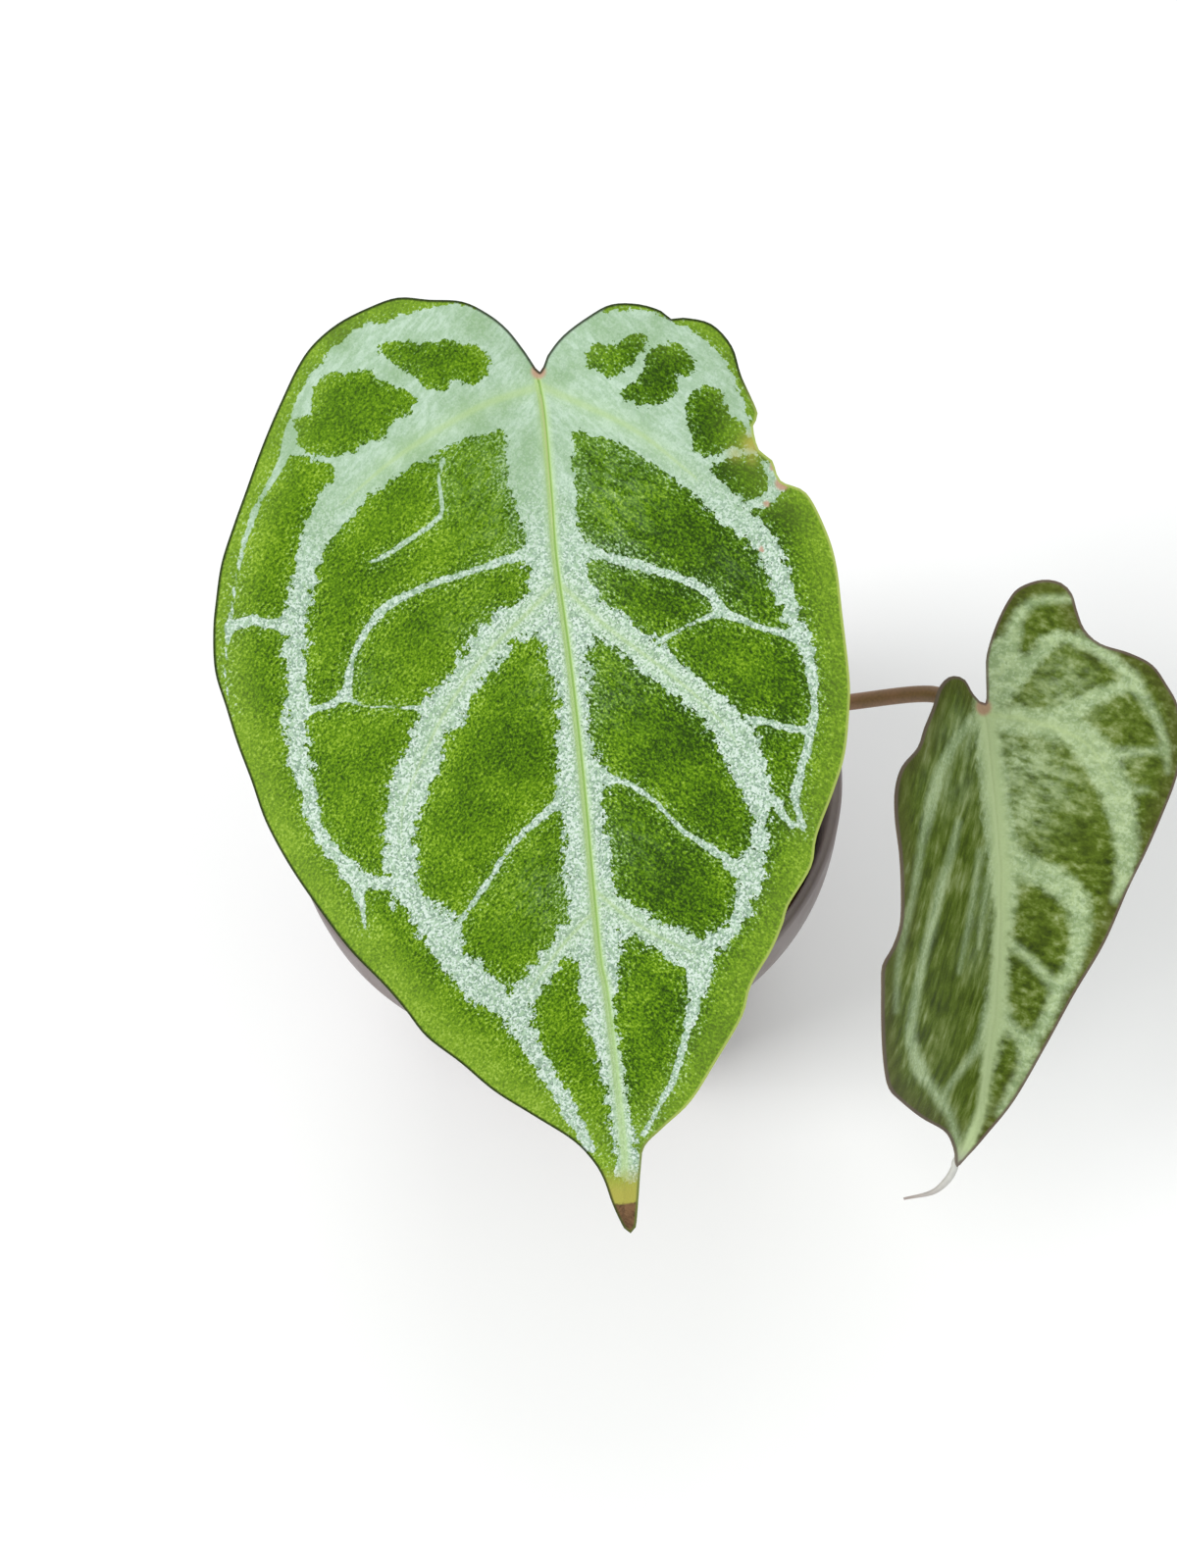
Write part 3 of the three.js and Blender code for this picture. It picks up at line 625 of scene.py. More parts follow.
# The silver bands follow the veins. Each point is x, y and the band's width there.
LARGE_MIDRIB_BAND = [
    (0, 1, 9.8), (-0.5, -5, 10.7), (-1, -9, 11), (-1, -17, 10.7), (-0.5, -25.5, 9.4),
    (0, -36, 10), (0, -42, 8.5), (0, -50, 5.4), (0, -54, 5), (-0.5, -59.5, 6.2), (-0.5, -66, 8),
    (-0.5, -72.5, 6.8), (-0.5, -86, 8.8), (-0.5, -92.5, 8), (-1, -99, 6.8), (-1.5, -103, 5.2),
    (-1, -110, 3.9), (-0.5, -116, 3.6), (0, -122, 3.1), (0, -127, 3.9), (0.5, -132, 4.5),
]
LARGE_BANDS = [
    [(0, 0, 6.5), (-8.5, -1.5, 7.5), (-17.5, -5, 7.8), (-26, -8.5, 7.5), (-30, -11, 7.2),
     (-34, -14.5, 6.5), (-36.5, -17.5, 6.2), (-39.5, -21, 4.7), (-41, -25, 3.6),
     (-43.5, -33, 3.9), (-45, -45, 3.2), (-46, -53, 3.6), (-45.5, -61, 2.8),
     (-44, -69.5, 2.3), (-39, -77.5, 2.8)],
    [(-39, -77.5, 2.6), (-35.5, -78.5, 2.3), (-32.5, -78.5, 3.6)],
    [(-39, -78, 2), (-38.5, -81.5, 1.3), (-38.5, -86, 0.3)],
    [(-1, -34.5, 5.5), (-6.5, -37.5, 5.9), (-10.5, -39.5, 5.9), (-14.5, -43.5, 6),
     (-18, -47.5, 4.9), (-21, -51, 6.8), (-23.5, -54, 5.5), (-25.5, -58.5, 5.7),
     (-28, -62.5, 6.7), (-30, -67, 5.7), (-31, -71, 5), (-31, -80, 4.9), (-29, -83.5, 4.2),
     (-26, -88, 6.2), (-25, -92, 4.2), (-21.5, -96.5, 5.2), (-15.5, -102.5, 4.5),
     (-14.5, -106, 4.1), (-13, -110, 2.4), (-9, -119, 2.4), (-5.5, -127.5, 1.6)],
    [(-3.5, -26.5, 2.9), (-6, -27.5, 2), (-8.5, -28, 1.3), (-15.5, -29.5, 1), (-22.5, -31, 1.1),
     (-28.5, -33.5, 1.3), (-30, -34.5, 1.5), (-33, -37.5, 1.1), (-35.5, -42, 1),
     (-37.5, -47.5, 1.3), (-42.5, -49, 1), (-45, -49, 1.3)],
    [(-37.5, -47.5, 0.6), (-34, -49.5, 0.3), (-30, -50, 0.4), (-23.5, -51, 0.4)],
    [(-17, -10.5, 0.7), (-18, -13.5, 0.5), (-18, -18.5, 0.7), (-19.5, -20.5, 0.7),
     (-24, -23, 0.8), (-29, -25.5, 0.7), (-31, -26, 0.4)],
    [(-2.5, -68, 1.6), (-4, -68.5, 1.5), (-7, -70.5, 1.3), (-12.5, -74.5, 1),
     (-17, -80, 0.9), (-21, -84.5, 0.8), (-24.5, -88.5, 0.7)],
    [(-1, -87.5, 4.2), (-6, -92, 3.7), (-11, -97, 3.6), (-15, -101.5, 4.2)],
    [(0, 1, 4.9), (-3.5, 4, 7.2), (-7, 9, 7.5), (-11.5, 12, 6.2), (-17, 12.5, 5),
     (-23, 11.8, 3.8), (-27, 11.2, 3.4), (-31, 9.6, 3.2), (-34, 7.8, 2.6), (-37.5, 4.8, 2),
     (-41, -1, 1.5), (-43.5, -7.5, 1.3), (-47.5, -13.5, 0.8), (-49, -16, 1.1),
     (-52, -23.5, 0.7), (-54.5, -33, 0.5), (-56.5, -42, 0.3), (-56, -47.5, 0.3)],
    [(-55, -34.5, 1.1), (-52, -33.5, 1.5), (-49, -34, 1.5), (-44.5, -35, 2)],
    [(-42.5, -5, 0.7), (-40, -6, 1), (-36.5, -7.5, 1), (-33.5, -9.5, 1.6)],
    [(0.5, 0.5, 6.5), (8, -4.5, 8.5), (12.5, -7, 7.2), (16, -10, 5.9), (20, -13.5, 5.9),
     (26.5, -21, 4.9), (30, -25, 4.5), (34.5, -31, 3.9), (37, -41, 2.8), (39, -48, 2.3),
     (39.5, -54.5, 1.5), (38.5, -61, 1.3), (36.5, -66.5, 1.3), (35.5, -69.5, 1.6),
     (34.5, -72, 1.3), (35.5, -77.5, 0.8)],
    [(1.5, -27.5, 3.9), (5, -28, 2.3), (8.5, -29.5, 1.6), (13.5, -31.5, 1.5), (19, -34, 1.3),
     (24, -37, 1.6), (26, -40.5, 1.5), (30.5, -43, 1), (33.5, -44.5, 1), (37.5, -46, 1.3)],
    [(26, -40.5, 0.8), (20.5, -42, 0.7), (14.5, -44.5, 0.7)],
    [(-0.5, -33.5, 6.5), (4, -38, 5.9), (7, -40.5, 5.2), (11.5, -44.5, 4.9), (15, -48.5, 5.2),
     (21.5, -55, 5), (24, -58, 5.5), (26, -61.5, 6.2), (28, -68.5, 5.4), (28.5, -72, 3.9),
     (28.5, -76, 2.3), (28, -79, 2.9), (26.5, -82.5, 4.1), (24, -89.5, 3.1),
     (21.5, -93, 2.8), (16, -96.5, 3.6)],
    [(27, -59, 1), (30, -59, 1.3), (34, -60.5, 1.1), (38, -61.5, 1)],
    [(28.5, -71.5, 1.3), (31, -72.5, 1.5), (33.5, -77, 0.8)],
    [(1, -64, 2.3), (3, -65, 1.5), (7.5, -67, 1.1), (11.5, -70.5, 0.7), (15, -75, 0.8),
     (19, -78.5, 1.1), (24.5, -83.5, 2.3)],
    [(-1, -83.5, 3.9), (4, -88.5, 4.4), (9.5, -92.5, 4.4), (16, -97, 4.9)],
    [(16, -97, 4.2), (15.5, -101, 3.6), (14.5, -104, 2.4), (12.5, -109.5, 1.3),
     (9.5, -117, 1.1), (6.5, -121.5, 1), (3.5, -126, 0.7)],
]
# The two lobes are silver all over, but for islands of green between their veins.
LARGE_LOBES = [
    [(0, 1.5), (-2.5, 7.5), (-6, 13), (-9.5, 14), (-18, 13.5), (-27, 13.5), (-30.5, 12),
     (-34, 10), (-37, 7), (-40, 1.5), (-41.5, -2.5), (-41.5, -6.5), (-34.5, -9),
     (-30, -12.5), (-25.5, -11), (-18.5, -8), (-6.5, -7), (-1, -7.5)],
    [(0.5, 1.5), (2.5, 6.5), (6, 9.5), (10.5, 11.2), (16, 11), (21, 9.5), (25.5, 6.5),
     (28.5, 4), (31, 1), (32, -2), (34, -9.5), (34, -13), (35, -15), (37, -18), (38, -21),
     (36.5, -23), (34, -24.5), (30, -24), (22.5, -17.5), (15.5, -9.5), (7.5, -5), (1, -6)],
]
LARGE_ISLANDS = [
    [(-38, 0), (-37.5, 2.5), (-36.5, 4.5), (-34.5, 6), (-31.5, 6), (-28, 6), (-25, 3.5),
     (-22, 2), (-20.5, 0.5), (-21.5, -2), (-24.5, -3), (-26, -5.5), (-29, -6), (-33.5, -8),
     (-37.5, -7), (-40.5, -5.5), (-40.5, -1)],
    [(-25.5, 9.5), (-23.5, 10), (-20, 10), (-19, 9), (-17, 9.5), (-13, 9), (-9.5, 8),
     (-7.5, 6.5), (-8, 3.5), (-10.5, 1.5), (-12.5, 2), (-14.5, 2.5), (-15, 1), (-17.5, 1.5),
     (-20, 3), (-20.5, 5), (-22.5, 5.5)],
    [(8.5, 2.5), (9.5, 5.5), (13.5, 5.5), (15.5, 6.5), (18, 6.5), (18.5, 5), (17, 2.5),
     (14, 1), (12, 0), (10, 2)],
    [(13, -2.5), (16.5, -0.5), (18.5, 3), (20.5, 4.5), (23.5, 4), (25.5, 2), (26, 0),
     (24.5, -1.5), (23, -1), (23, -3.5), (21, -4.5), (18.5, -5.5), (16, -5), (13.5, -3.5)],
    [(24.5, -4.5), (26.5, -3.5), (28, -3), (30, -4.5), (30.5, -7.5), (33, -10.5),
     (34, -12.5), (33, -14), (29.5, -14), (27, -14.5), (25.5, -15), (24, -13),
     (24.5, -10.5), (23.5, -8.5)],
    [(27, -17), (28.5, -15.5), (31.5, -15), (34, -15.5), (35.5, -17.5), (36, -20),
     (34.5, -22), (32, -22.5), (30, -21.5), (29, -19.5), (27.5, -19)],
]
LARGE_MIDRIB = [(0, 1), (0.3, -5), (0, -17.5), (-0.4, -28.5), (0, -45.5), (0, -64.5), (-0.4, -84.5),
                (-0.5, -96), (0, -102.5), (0, -127), (-0.5, -133)]
# The nerves within the bands, each with the width of its pale line at every point.
LARGE_NERVES = [
    [(0, 0, 1.2), (-8.5, -1.8, 1), (-17.5, -5.5, 0.9), (-26, -10, 0.6), (-34, -15.5, 0.3)],
    [(0.5, 0, 1.2), (8, -4.5, 0.9), (16, -10, 0.7), (24, -18, 0.4)],
    [(-1, -33, 0.7), (-6.5, -37.5, 0.6), (-14.5, -44, 0.5), (-21, -51.5, 0.5), (-25.5, -58.5, 0.4),
     (-30, -67, 0.3), (-31, -76, 0.2)],
    [(0, -33, 0.7), (7, -41, 0.6), (15, -48.5, 0.5), (22, -56, 0.4), (27, -64, 0.2)],
    [(0, -87, 0.6), (-6, -92, 0.5), (-13, -99.5, 0.3)],
    [(0, -84, 0.6), (7, -90.8, 0.5), (15, -96, 0.3)],
]
# Where a leaf is darker or paler than the rest: x, y, radius and how much.
LARGE_DEEP = [(30, -16, 4, 1.0), (34, -17, 3, 0.8), (27, -9, 6, 0.45), (20, -1, 6, 0.45), (-32, 0, 9, 0.3),
              (-15, 7, 6, 0.5), (28, -27, 9, 0.55), (38, -27, 4, 0.6), (21, -33, 8, 0.4),
              (20, -53, 9, 0.3), (13, -84, 7, 0.45), (-11, -58, 8, 0.25), (-8, -82, 6, 0.3),
              (-22, 16, 4, 0.7), (-31, 13, 5, 0.8), (-38, 7, 4, 0.6), (35, -3, 4, 0.5)]
LARGE_DUST = [(-9, -14, 7, 0.8), (-9, -23, 6, 0.5), (10, -17, 7, 0.75), (10, -26, 6, 0.6), (5, -34, 5, 0.5),
              (-15, -38, 5, 0.3), (6, -52, 5, 0.5), (6, -77, 5, 0.4), (-8, -84, 6, 0.5),
              (-5, -50, 4, 0.3), (10, -44, 4, 0.3), (28, -35, 5, 0.3), (-33, -45, 4, 0.2)]
LARGE_SCARS = [(35.5, -13.8, 1.3, 1.0), (37.2, -17.5, 1.0, 1.0), (38.2, -20.5, 1.4, 1.0),
               (35.2, -23.6, 0.8, 0.8), (33.5, -31, 0.6, 1.0), (0.3, 2.6, 1.6, 0.9)]
LARGE_YELLOW = [(34, -13.6, 1.8, 1.0), (31, -14.8, 1.2, 0.6), (33.6, -16, 1, 0.5)]
NET_PITCH = 1.2
BLADE_THICKNESS = 0.6
MARGIN_THICKNESS = 0.3
MARGIN_WIDTH = 3
SLOPE_STEP = 0.05
MAP_MARGIN = 2
RIM_SPREAD = 1.015
LARGE_MIDDLE = 60


def smoothstep(low, high, value):
    t = np.clip((value - low) / (high - low), 0, 1)
    return t * t * (3 - 2 * t)


def large_relief(x, y):
    """The large blade's height over the flat: the tip droops, the halves rise from the midrib and
    fall at the margin, and the margin waves."""
    away = smoothstep(3, 15, np.hypot(x, y))
    droop = -0.0008 * y * (y + 70)
    halves = 0.1 * (np.sqrt(x * x + 9) - 3) - 0.0016 * x * x
    up = y + LARGE_MIDDLE
    wave = 1.3 * np.hypot(x / 50, up / 75) ** 3 * np.sin(5 * np.arctan2(up, x) + 0.6)
    return droop + (halves + wave) * away


def nearest(places, line):
    """The distance from each place to a line, the side that it is on and the line's width there."""
    best = np.full(len(places), 1e9)
    side = np.ones(len(places))
    width = np.zeros(len(places))
    for a, b in zip(line, line[1:]):
        along = b[:2] - a[:2]
        offset = places - a[:2]
        t = np.clip(offset @ along / max(along @ along, 1e-9), 0, 1)
        away = offset - t[:, None] * along
        distance = np.hypot(away[:, 0], away[:, 1])
        closer = distance < best
        best = np.where(closer, distance, best)
        across = along[0] * offset[:, 1] - along[1] * offset[:, 0]
        side = np.where(closer, np.where(across < 0, -1.0, 1.0), side)
        if len(a) > 2:
            width = np.where(closer, a[2] + t * (b[2] - a[2]), width)
    return best, side, width


def inside(places, outline):
    """How far each place is inside a closed outline, negative outside it."""
    line = smooth_route(outline, 1.2, closed=True)
    line = np.vstack([line, line[:1]])
    distance = nearest(places, line)[0]
    crossings = np.zeros(len(places), int)
    for a, b in zip(line, line[1:]):
        spans = (a[1] > places[:, 1]) != (b[1] > places[:, 1])
        if a[1] != b[1]:
            crosses = a[0] + (places[:, 1] - a[1]) / (b[1] - a[1]) * (b[0] - a[0])
            crossings += spans & (places[:, 0] < crosses)
    return np.where(crossings % 2 == 1, distance, -distance)


def bands_at(places, routes, round_off=1.6):
    """How far each place is inside the silver bands, rounded where they join, with the
    half-width of the nearest."""
    blend = np.zeros(len(places))
    best = np.full(len(places), -1e9)
    half = np.zeros(len(places))
    for route in routes:
        distance, _, width = nearest(places, smooth_route(route, 1.5))
        depth = width / 2 - distance
        blend += np.exp(np.clip(round_off * depth, -60, 60))
        half = np.where(depth > best, width / 2, half)
        best = np.maximum(best, depth)
    return np.log(np.maximum(blend, 1e-20)) / round_off, half


def spots_at(places, spots):
    """The strongest of some soft round spots, each x, y, radius and strength."""
    total = np.zeros(len(places))
    for x, y, radius, strength in spots:
        near = np.hypot(places[:, 0] - x, places[:, 1] - y) / radius
        total = np.maximum(total, strength * np.exp(-near ** 2))
    return total


def cut_net(outline, columns, rows):
    """A flat outline cut into a net of small faces by planes across it, on both of its sides."""
    bm = bmesh.new()
    bm.faces.new([bm.verts.new((x, y, 0)) for x, y in smooth_route(outline, 1.2, closed=True)])
    cuts = [((x, 0, 0), (1, 0, 0)) for x in columns] + [((0, y, 0), (0, 1, 0)) for y in rows]
    for place, normal in cuts:
        geometry = bm.verts[:] + bm.edges[:] + bm.faces[:]
        bmesh.ops.bisect_plane(bm, geom=geometry, plane_co=place, plane_no=normal, dist=0.001)
    bmesh.ops.remove_doubles(bm, verts=bm.verts, dist=0.02)
    bmesh.ops.subdivide_edges(bm, edges=bm.edges, cuts=1, use_grid_fill=True)
    bmesh.ops.triangulate(bm, faces=[f for f in bm.faces if len(f.verts) > 4])
    bmesh.ops.recalc_face_normals(bm, faces=bm.faces)
    if bm.faces[0].normal.z < 0:
        bmesh.ops.reverse_faces(bm, faces=bm.faces)
    copy = bmesh.ops.duplicate(bm, geom=bm.verts[:] + bm.edges[:] + bm.faces[:])["geom"]
    under = [e for e in copy if isinstance(e, bmesh.types.BMFace)]
    bmesh.ops.reverse_faces(bm, faces=under)
    lowered = [e for e in copy if isinstance(e, bmesh.types.BMVert)]
    bmesh.ops.translate(bm, verts=lowered, vec=(0, 0, -1))
    bmesh.ops.bridge_loops(bm, edges=[e for e in bm.edges if e.is_boundary])
    return bm


def bend_blade(name, bm, place, relief, strokes, groove, fields):
    """Bends a cut net to its relief and gives it its thickness, its attributes and its map, which
    holds the upper face with the under face beside it."""
    blade = object_from(name, bm)
    mesh = blade.data
    flat = np.empty(len(mesh.vertices) * 3)
    mesh.vertices.foreach_get("co", flat)
    flat = flat.reshape(-1, 3)
    x, y, top = flat[:, 0], flat[:, 1], flat[:, 2] > -0.5
    height = relief(x, y)
    slope_x = (relief(x + SLOPE_STEP, y) - relief(x - SLOPE_STEP, y)) / (2 * SLOPE_STEP)
    slope_y = (relief(x, y + SLOPE_STEP) - relief(x, y - SLOPE_STEP)) / (2 * SLOPE_STEP)
    normal = np.stack([-slope_x, -slope_y, np.ones(len(x))], axis=1)
    normal /= np.linalg.norm(normal, axis=1)[:, None]
    inner = smoothstep(0, MARGIN_WIDTH, fields["edge"])
    thick = MARGIN_THICKNESS + (BLADE_THICKNESS - MARGIN_THICKNESS) * inner
    offset = np.where(top, thick / 2, -thick / 2) + groove
    bent = np.stack([x, y, height], axis=1) + normal * offset[:, None]
    world = bent @ np.array(place.to_3x3()).T + np.array(place.translation)
    mesh.vertices.foreach_set("co", (world * MM).ravel())
    leaf = mesh.attributes.new("leaf", "FLOAT_VECTOR", "POINT")
    leaf.data.foreach_set("vector", np.stack([x, y, height], axis=1).ravel())
    weft = mesh.attributes.new("weft", "FLOAT_VECTOR", "POINT")
    weft.data.foreach_set("vector", strokes(fields["mid"], x, y).ravel())
    for label, values in fields.items():
        layer = mesh.attributes.new(label, "FLOAT", "POINT")
        layer.data.foreach_set("value", values)
    low = flat.min(axis=0)
    size = max(np.ptp(y) + 2 * MAP_MARGIN, 2 * np.ptp(x) + 6 * MAP_MARGIN)
    corner = np.empty(len(mesh.loops), int)
    mesh.loops.foreach_get("vertex_index", corner)
    start = np.array([p.loop_start for p in mesh.polygons])
    total = np.array([p.loop_total for p in mesh.polygons])
    face_of = np.repeat(np.arange(len(start)), total)
    tops = np.add.reduceat(top[corner].astype(int), start)
    under_face = tops == 0
    rim_face = (tops > 0) & (tops < total)
    spread = np.where((rim_face[face_of] & ~top[corner])[:, None], RIM_SPREAD, 1.0)
    middle = np.array([np.mean(x), np.mean(y)])
    places = middle + (flat[corner, :2] - middle) * spread
    shift = np.where(under_face[face_of], np.ptp(x) + 3 * MAP_MARGIN, 0.0)
    u = (places[:, 0] - low[0] + MAP_MARGIN + shift) / size
    v = (places[:, 1] - low[1] + MAP_MARGIN) / size
    layer = mesh.uv_layers.new(name="OFBake")
    layer.data.foreach_set("uv", np.stack([u, v], axis=1).ravel())
    mesh.polygons.foreach_set("material_index", under_face.astype(int))
    mesh.update()
    mesh.set_sharp_from_angle(angle=math.radians(60))
    return blade


def marking_fields(places, outline, bands, midrib, nerves, lobes, islands, deep, dust, scars, yellow):
    """Everything that the leaf's colour follows, at each place of its net."""
    silver, half = bands_at(places, bands)
    if lobes:
        filled = np.max([inside(places, lobe) for lobe in lobes], axis=0)
        half = np.where(filled > silver, 2.0, half)
        silver = np.maximum(silver, filled)
    if islands:
        open_green = np.max([inside(places, island) for island in islands], axis=0)
        half = np.where(-open_green < silver, 2.0, half)
        silver = np.minimum(silver, -open_green)
    distance, side, _ = nearest(places, smooth_route(midrib, 1.0))
    mid = distance * side
    best = np.full(len(places), 9.0)
    signed = np.full(len(places), 9.0)
    width = np.zeros(len(places))
    for nerve in nerves:
        away, side, thickness = nearest(places, smooth_route(nerve, 1.0))
        closer = away < best
        best = np.where(closer, away, best)
        signed = np.where(closer, away * side, signed)
        width = np.where(closer, thickness, width)
    return {
        "silver": silver,
        "half": half,
        "mid": mid,
        "nerve": signed,
        "nerve_width": width * (1 - smoothstep(0.9, 1.5, best)),
        "halo": np.exp(-(best / 1.7) ** 2) * smoothstep(0.1, 0.7, width),
        "edge": np.maximum(inside(places, outline), 0),
        "deep": spots_at(places, deep),
        "dust": spots_at(places, dust),
        "scar": spots_at(places, scars),
        "yellow": spots_at(places, yellow),
    }


def places_of(bm):
    return np.array([(v.co.x, v.co.y) for v in bm.verts])


def net_lines(low, high, pitch, fine):
    """Cutting places from low to high, closer together near zero for the midrib's groove."""
    lines = [n * pitch for n in range(math.ceil(low / pitch), math.floor(high / pitch) + 1)]
    return sorted({round(v, 3) for v in lines + [s * v for v in fine for s in (-1, 1)]})


bm = cut_net(
    LARGE_OUTLINE,
    net_lines(-58, 46, NET_PITCH, (0.3, 0.6, 0.9, 1.8)),
    net_lines(-143, 17, NET_PITCH, ()),
)
large_places = places_of(bm)
large_fields = marking_fields(
    large_places, LARGE_OUTLINE, [LARGE_MIDRIB_BAND] + LARGE_BANDS, LARGE_MIDRIB, LARGE_NERVES,
    LARGE_LOBES, LARGE_ISLANDS, LARGE_DEEP, LARGE_DUST, LARGE_SCARS, LARGE_YELLOW,
)


def groove_of(places, fields, depth, quilt, foot, tip):
    """The fine relief: a groove along the midrib and panels that swell between the veins."""
    fade = smoothstep(tip, tip + 25, places[:, 1]) * (1 - smoothstep(foot - 4, foot, places[:, 1]))
    mid = np.abs(fields["mid"])
    groove = -depth * np.exp(-(mid / 0.45) ** 2) + 0.35 * depth * np.exp(-((mid - 1.2) / 0.5) ** 2)
    swell = quilt * (1 - np.exp(-np.maximum(0, -fields["silver"]) / 2.5)) * smoothstep(0, 6, fields["edge"])
    return groove * fade + swell


def strokes_along(left, right, left_draw=1.0):
    """How the skin's cells lie: places measured along and across the side veins, which leave the
    midrib in one direction on its left and in another on its right. Left strokes may be longer."""
    def measure(mid, x, y):
        far = np.where(mid > 0, 1.0, 0.0)
        lie = np.where((mid > 0)[:, None], np.array(right), np.array(left))
        lie /= np.linalg.norm(lie, axis=1)[:, None]
        along = (x * lie[:, 0] + y * lie[:, 1]) * np.where(mid > 0, 1.0, left_draw)
        across = x * lie[:, 1] - y * lie[:, 0]
        return np.stack([along, across, 40 * far], axis=1)
    return measure


place = Matrix.Translation(LARGE_LEAF_BASE) @ Matrix.Rotation(LEAF_LEAN, 4, "X")
groove = groove_of(large_places, large_fields, 0.32, 0.4, 2, -134)
strokes = strokes_along((-0.7, -0.7), (0.7, -0.7))
leaf_large = bend_blade("leaf_large_blade", bm, place, large_relief, strokes, groove, large_fields)


# The upper face of a living blade: a velvet of tiny domed cells. Where air lies under the skin
# along the veins, the cells scatter light and look silver, so the silver breaks up cell by cell at
# its edges, and pale dabs stray into the green.
LESS = {"operation": "SUBTRACT"}
LARGER = {"operation": "MAXIMUM"}
SOFT = {"interpolation_type": "SMOOTHSTEP"}
CELL_RELIEF = 0.15 * MM


def leaf_patterns(tree, look):
    """What the colours follow: the fields on the leaf's net, and the skin's own patterns, which are
    cells, dabs of a few cells, strokes along the side veins, and broader patches."""
    leaf = {label: add(tree, "Attribute", give="Fac", attribute_name=label) for label in large_fields}
    at = add(tree, "Attribute", give="Vector", attribute_name="leaf")
    weft = add(tree, "Attribute", give="Vector", attribute_name="weft")
    laid = add(tree, "Mapping", {"Vector": weft, "Scale": (look["lie"], 1, 1)})
    swept = add(tree, "Mapping", {"Vector": weft, "Scale": (look["sweep"], 1, 1)})
    for name, place, detail, roughness in (
        ("dab", laid, 2.5, 0.6), ("brush", swept, 3.0, 0.6), ("blotch", at, 2.0, 0.5),
        ("ragged", at, 4.0, 0.65),
    ):
        leaf[name] = add(tree, "TexNoise", {
            "Vector": place, "Scale": 1 / look[name], "Detail": detail, "Roughness": roughness,
        })
    leaf["dome"] = add(tree, "TexVoronoi", {"Vector": at, "Scale": 1 / look["grain"]})
    chances = add(tree, "SeparateColor", [leaf["dome"].node.outputs["Color"]])
    leaf["red"], leaf["green"], leaf["blue"] = chances.node.outputs
    leaf["across"], leaf["down"], _ = add(tree, "SeparateXYZ", [at]).node.outputs
    leaf["spine"] = add(tree, "Math", [leaf["mid"]], operation="ABSOLUTE")
    above = look["smooth_above"]
    limits = [above, above - 30, look["least_grain"], 1.0]
    leaf["grainy"] = add(tree, "MapRange", [leaf["down"], *limits], **SOFT)
    beside = add(tree, "MapRange", [leaf["silver"], -look["stray_reach"], 0.0], **SOFT)
    leaf["near"] = add(tree, "Math", [leaf["dust"], 1.1, beside], **TOTAL)
    return leaf


def silver_share(tree, look, leaf):
    """Where the silver is. Its edge wanders, more on broad veins and low on the leaf. Pale dabs
    stray into the green near it, and a haze lies where the dust field says so."""
    on_broad = add(tree, "MapRange", [leaf["half"], 0.2, 2.0, 0.15, 1.0], **SOFT)
    when_low = add(tree, "MapRange", [leaf["grainy"], 0.0, 1.0, 0.55, 1.0], **SOFT)
    reach = add(tree, "Math", [on_broad, when_low], **TIMES)
    depths = {"ragged": look["ragged_depth"], "dab": look["crumb_depth"], "brush": look["brush_depth"]}
    wander = -sum(depths.values()) / 2
    for pattern, depth in depths.items():
        wander = add(tree, "Math", [leaf[pattern], depth, wander], **TOTAL)
    inward = add(tree, "Math", [wander, reach, leaf["silver"]], **TOTAL)
    share = add(tree, "MapRange", [inward, -look["soft"], look["soft"]], **SOFT)

    lifted = add(tree, "Math", [leaf["near"], look["stray_gain"], leaf["dab"]], **TOTAL)
    low = look["stray_from"]
    stray = add(tree, "MapRange", [lifted, low, low + 0.1, 0.0, look["stray_strength"]], **SOFT)
    crowd = add(tree, "Math", [leaf["near"], 1.5], use_clamp=True, **TIMES)
    wisps = add(tree, "MapRange", [leaf["brush"], *look["wisp"], 0.0, look["haze"]], **SOFT)
    for pale, where in ((stray, crowd), (wisps, leaf["dust"])):
        spread = add(tree, "Math", [pale, where], **TIMES)
        share = add(tree, "Math", [share, spread], **LARGER)
    return share


def green_between(tree, look, leaf):
    """The green between the veins, deep to pale by dabs, and darker towards the leaf's right
    by painted shade.
    """
    contrast = add(tree, "MapRange", [leaf["grainy"], 0.0, 1.0, *look["dab_tone"]], **SOFT)
    stir = add(tree, "MapRange", [leaf["near"], 0.0, 0.7, look["calm"], 1.0], **SOFT)
    stirred = add(tree, "Math", [contrast, stir], **TIMES)
    centred = add(tree, "Math", [leaf["dab"], 0.5], **LESS)
    # Painted shade: the green darkens towards the leaf's right, away from the light.
    shaded = add(tree, "MapRange", [leaf["across"], *look["painted_shade_from_to"]], **SOFT)
    border = add(tree, "MapRange", [leaf["edge"], look["margin"], 0.5], **SOFT)
    tone = 0.5 - (look["streak"] + look["broad"] + look["jitter"]) / 2
    for pattern, weight in (
        (centred, stirred), (leaf["brush"], look["streak"]), (leaf["blotch"], look["broad"]),
        (leaf["deep"], -look["deep"]), (leaf["near"], look["near_lift"]), (shaded, -look["shade"]),
        (leaf["blue"], look["jitter"]), (border, look["margin_lift"]),
    ):
        tone = add(tree, "Math", [pattern, weight, tone], **TOTAL)
    greens = add(tree, "ValToRGB", [tone])
    set_stops(greens.node.color_ramp, look["greens"])
    marginal = add(tree, "Math", [border, look["margin_strength"]], **TIMES)
    return add(tree, "Mix", {0: marginal, 6: greens, 7: look["green_margin"]}, **COLOUR)


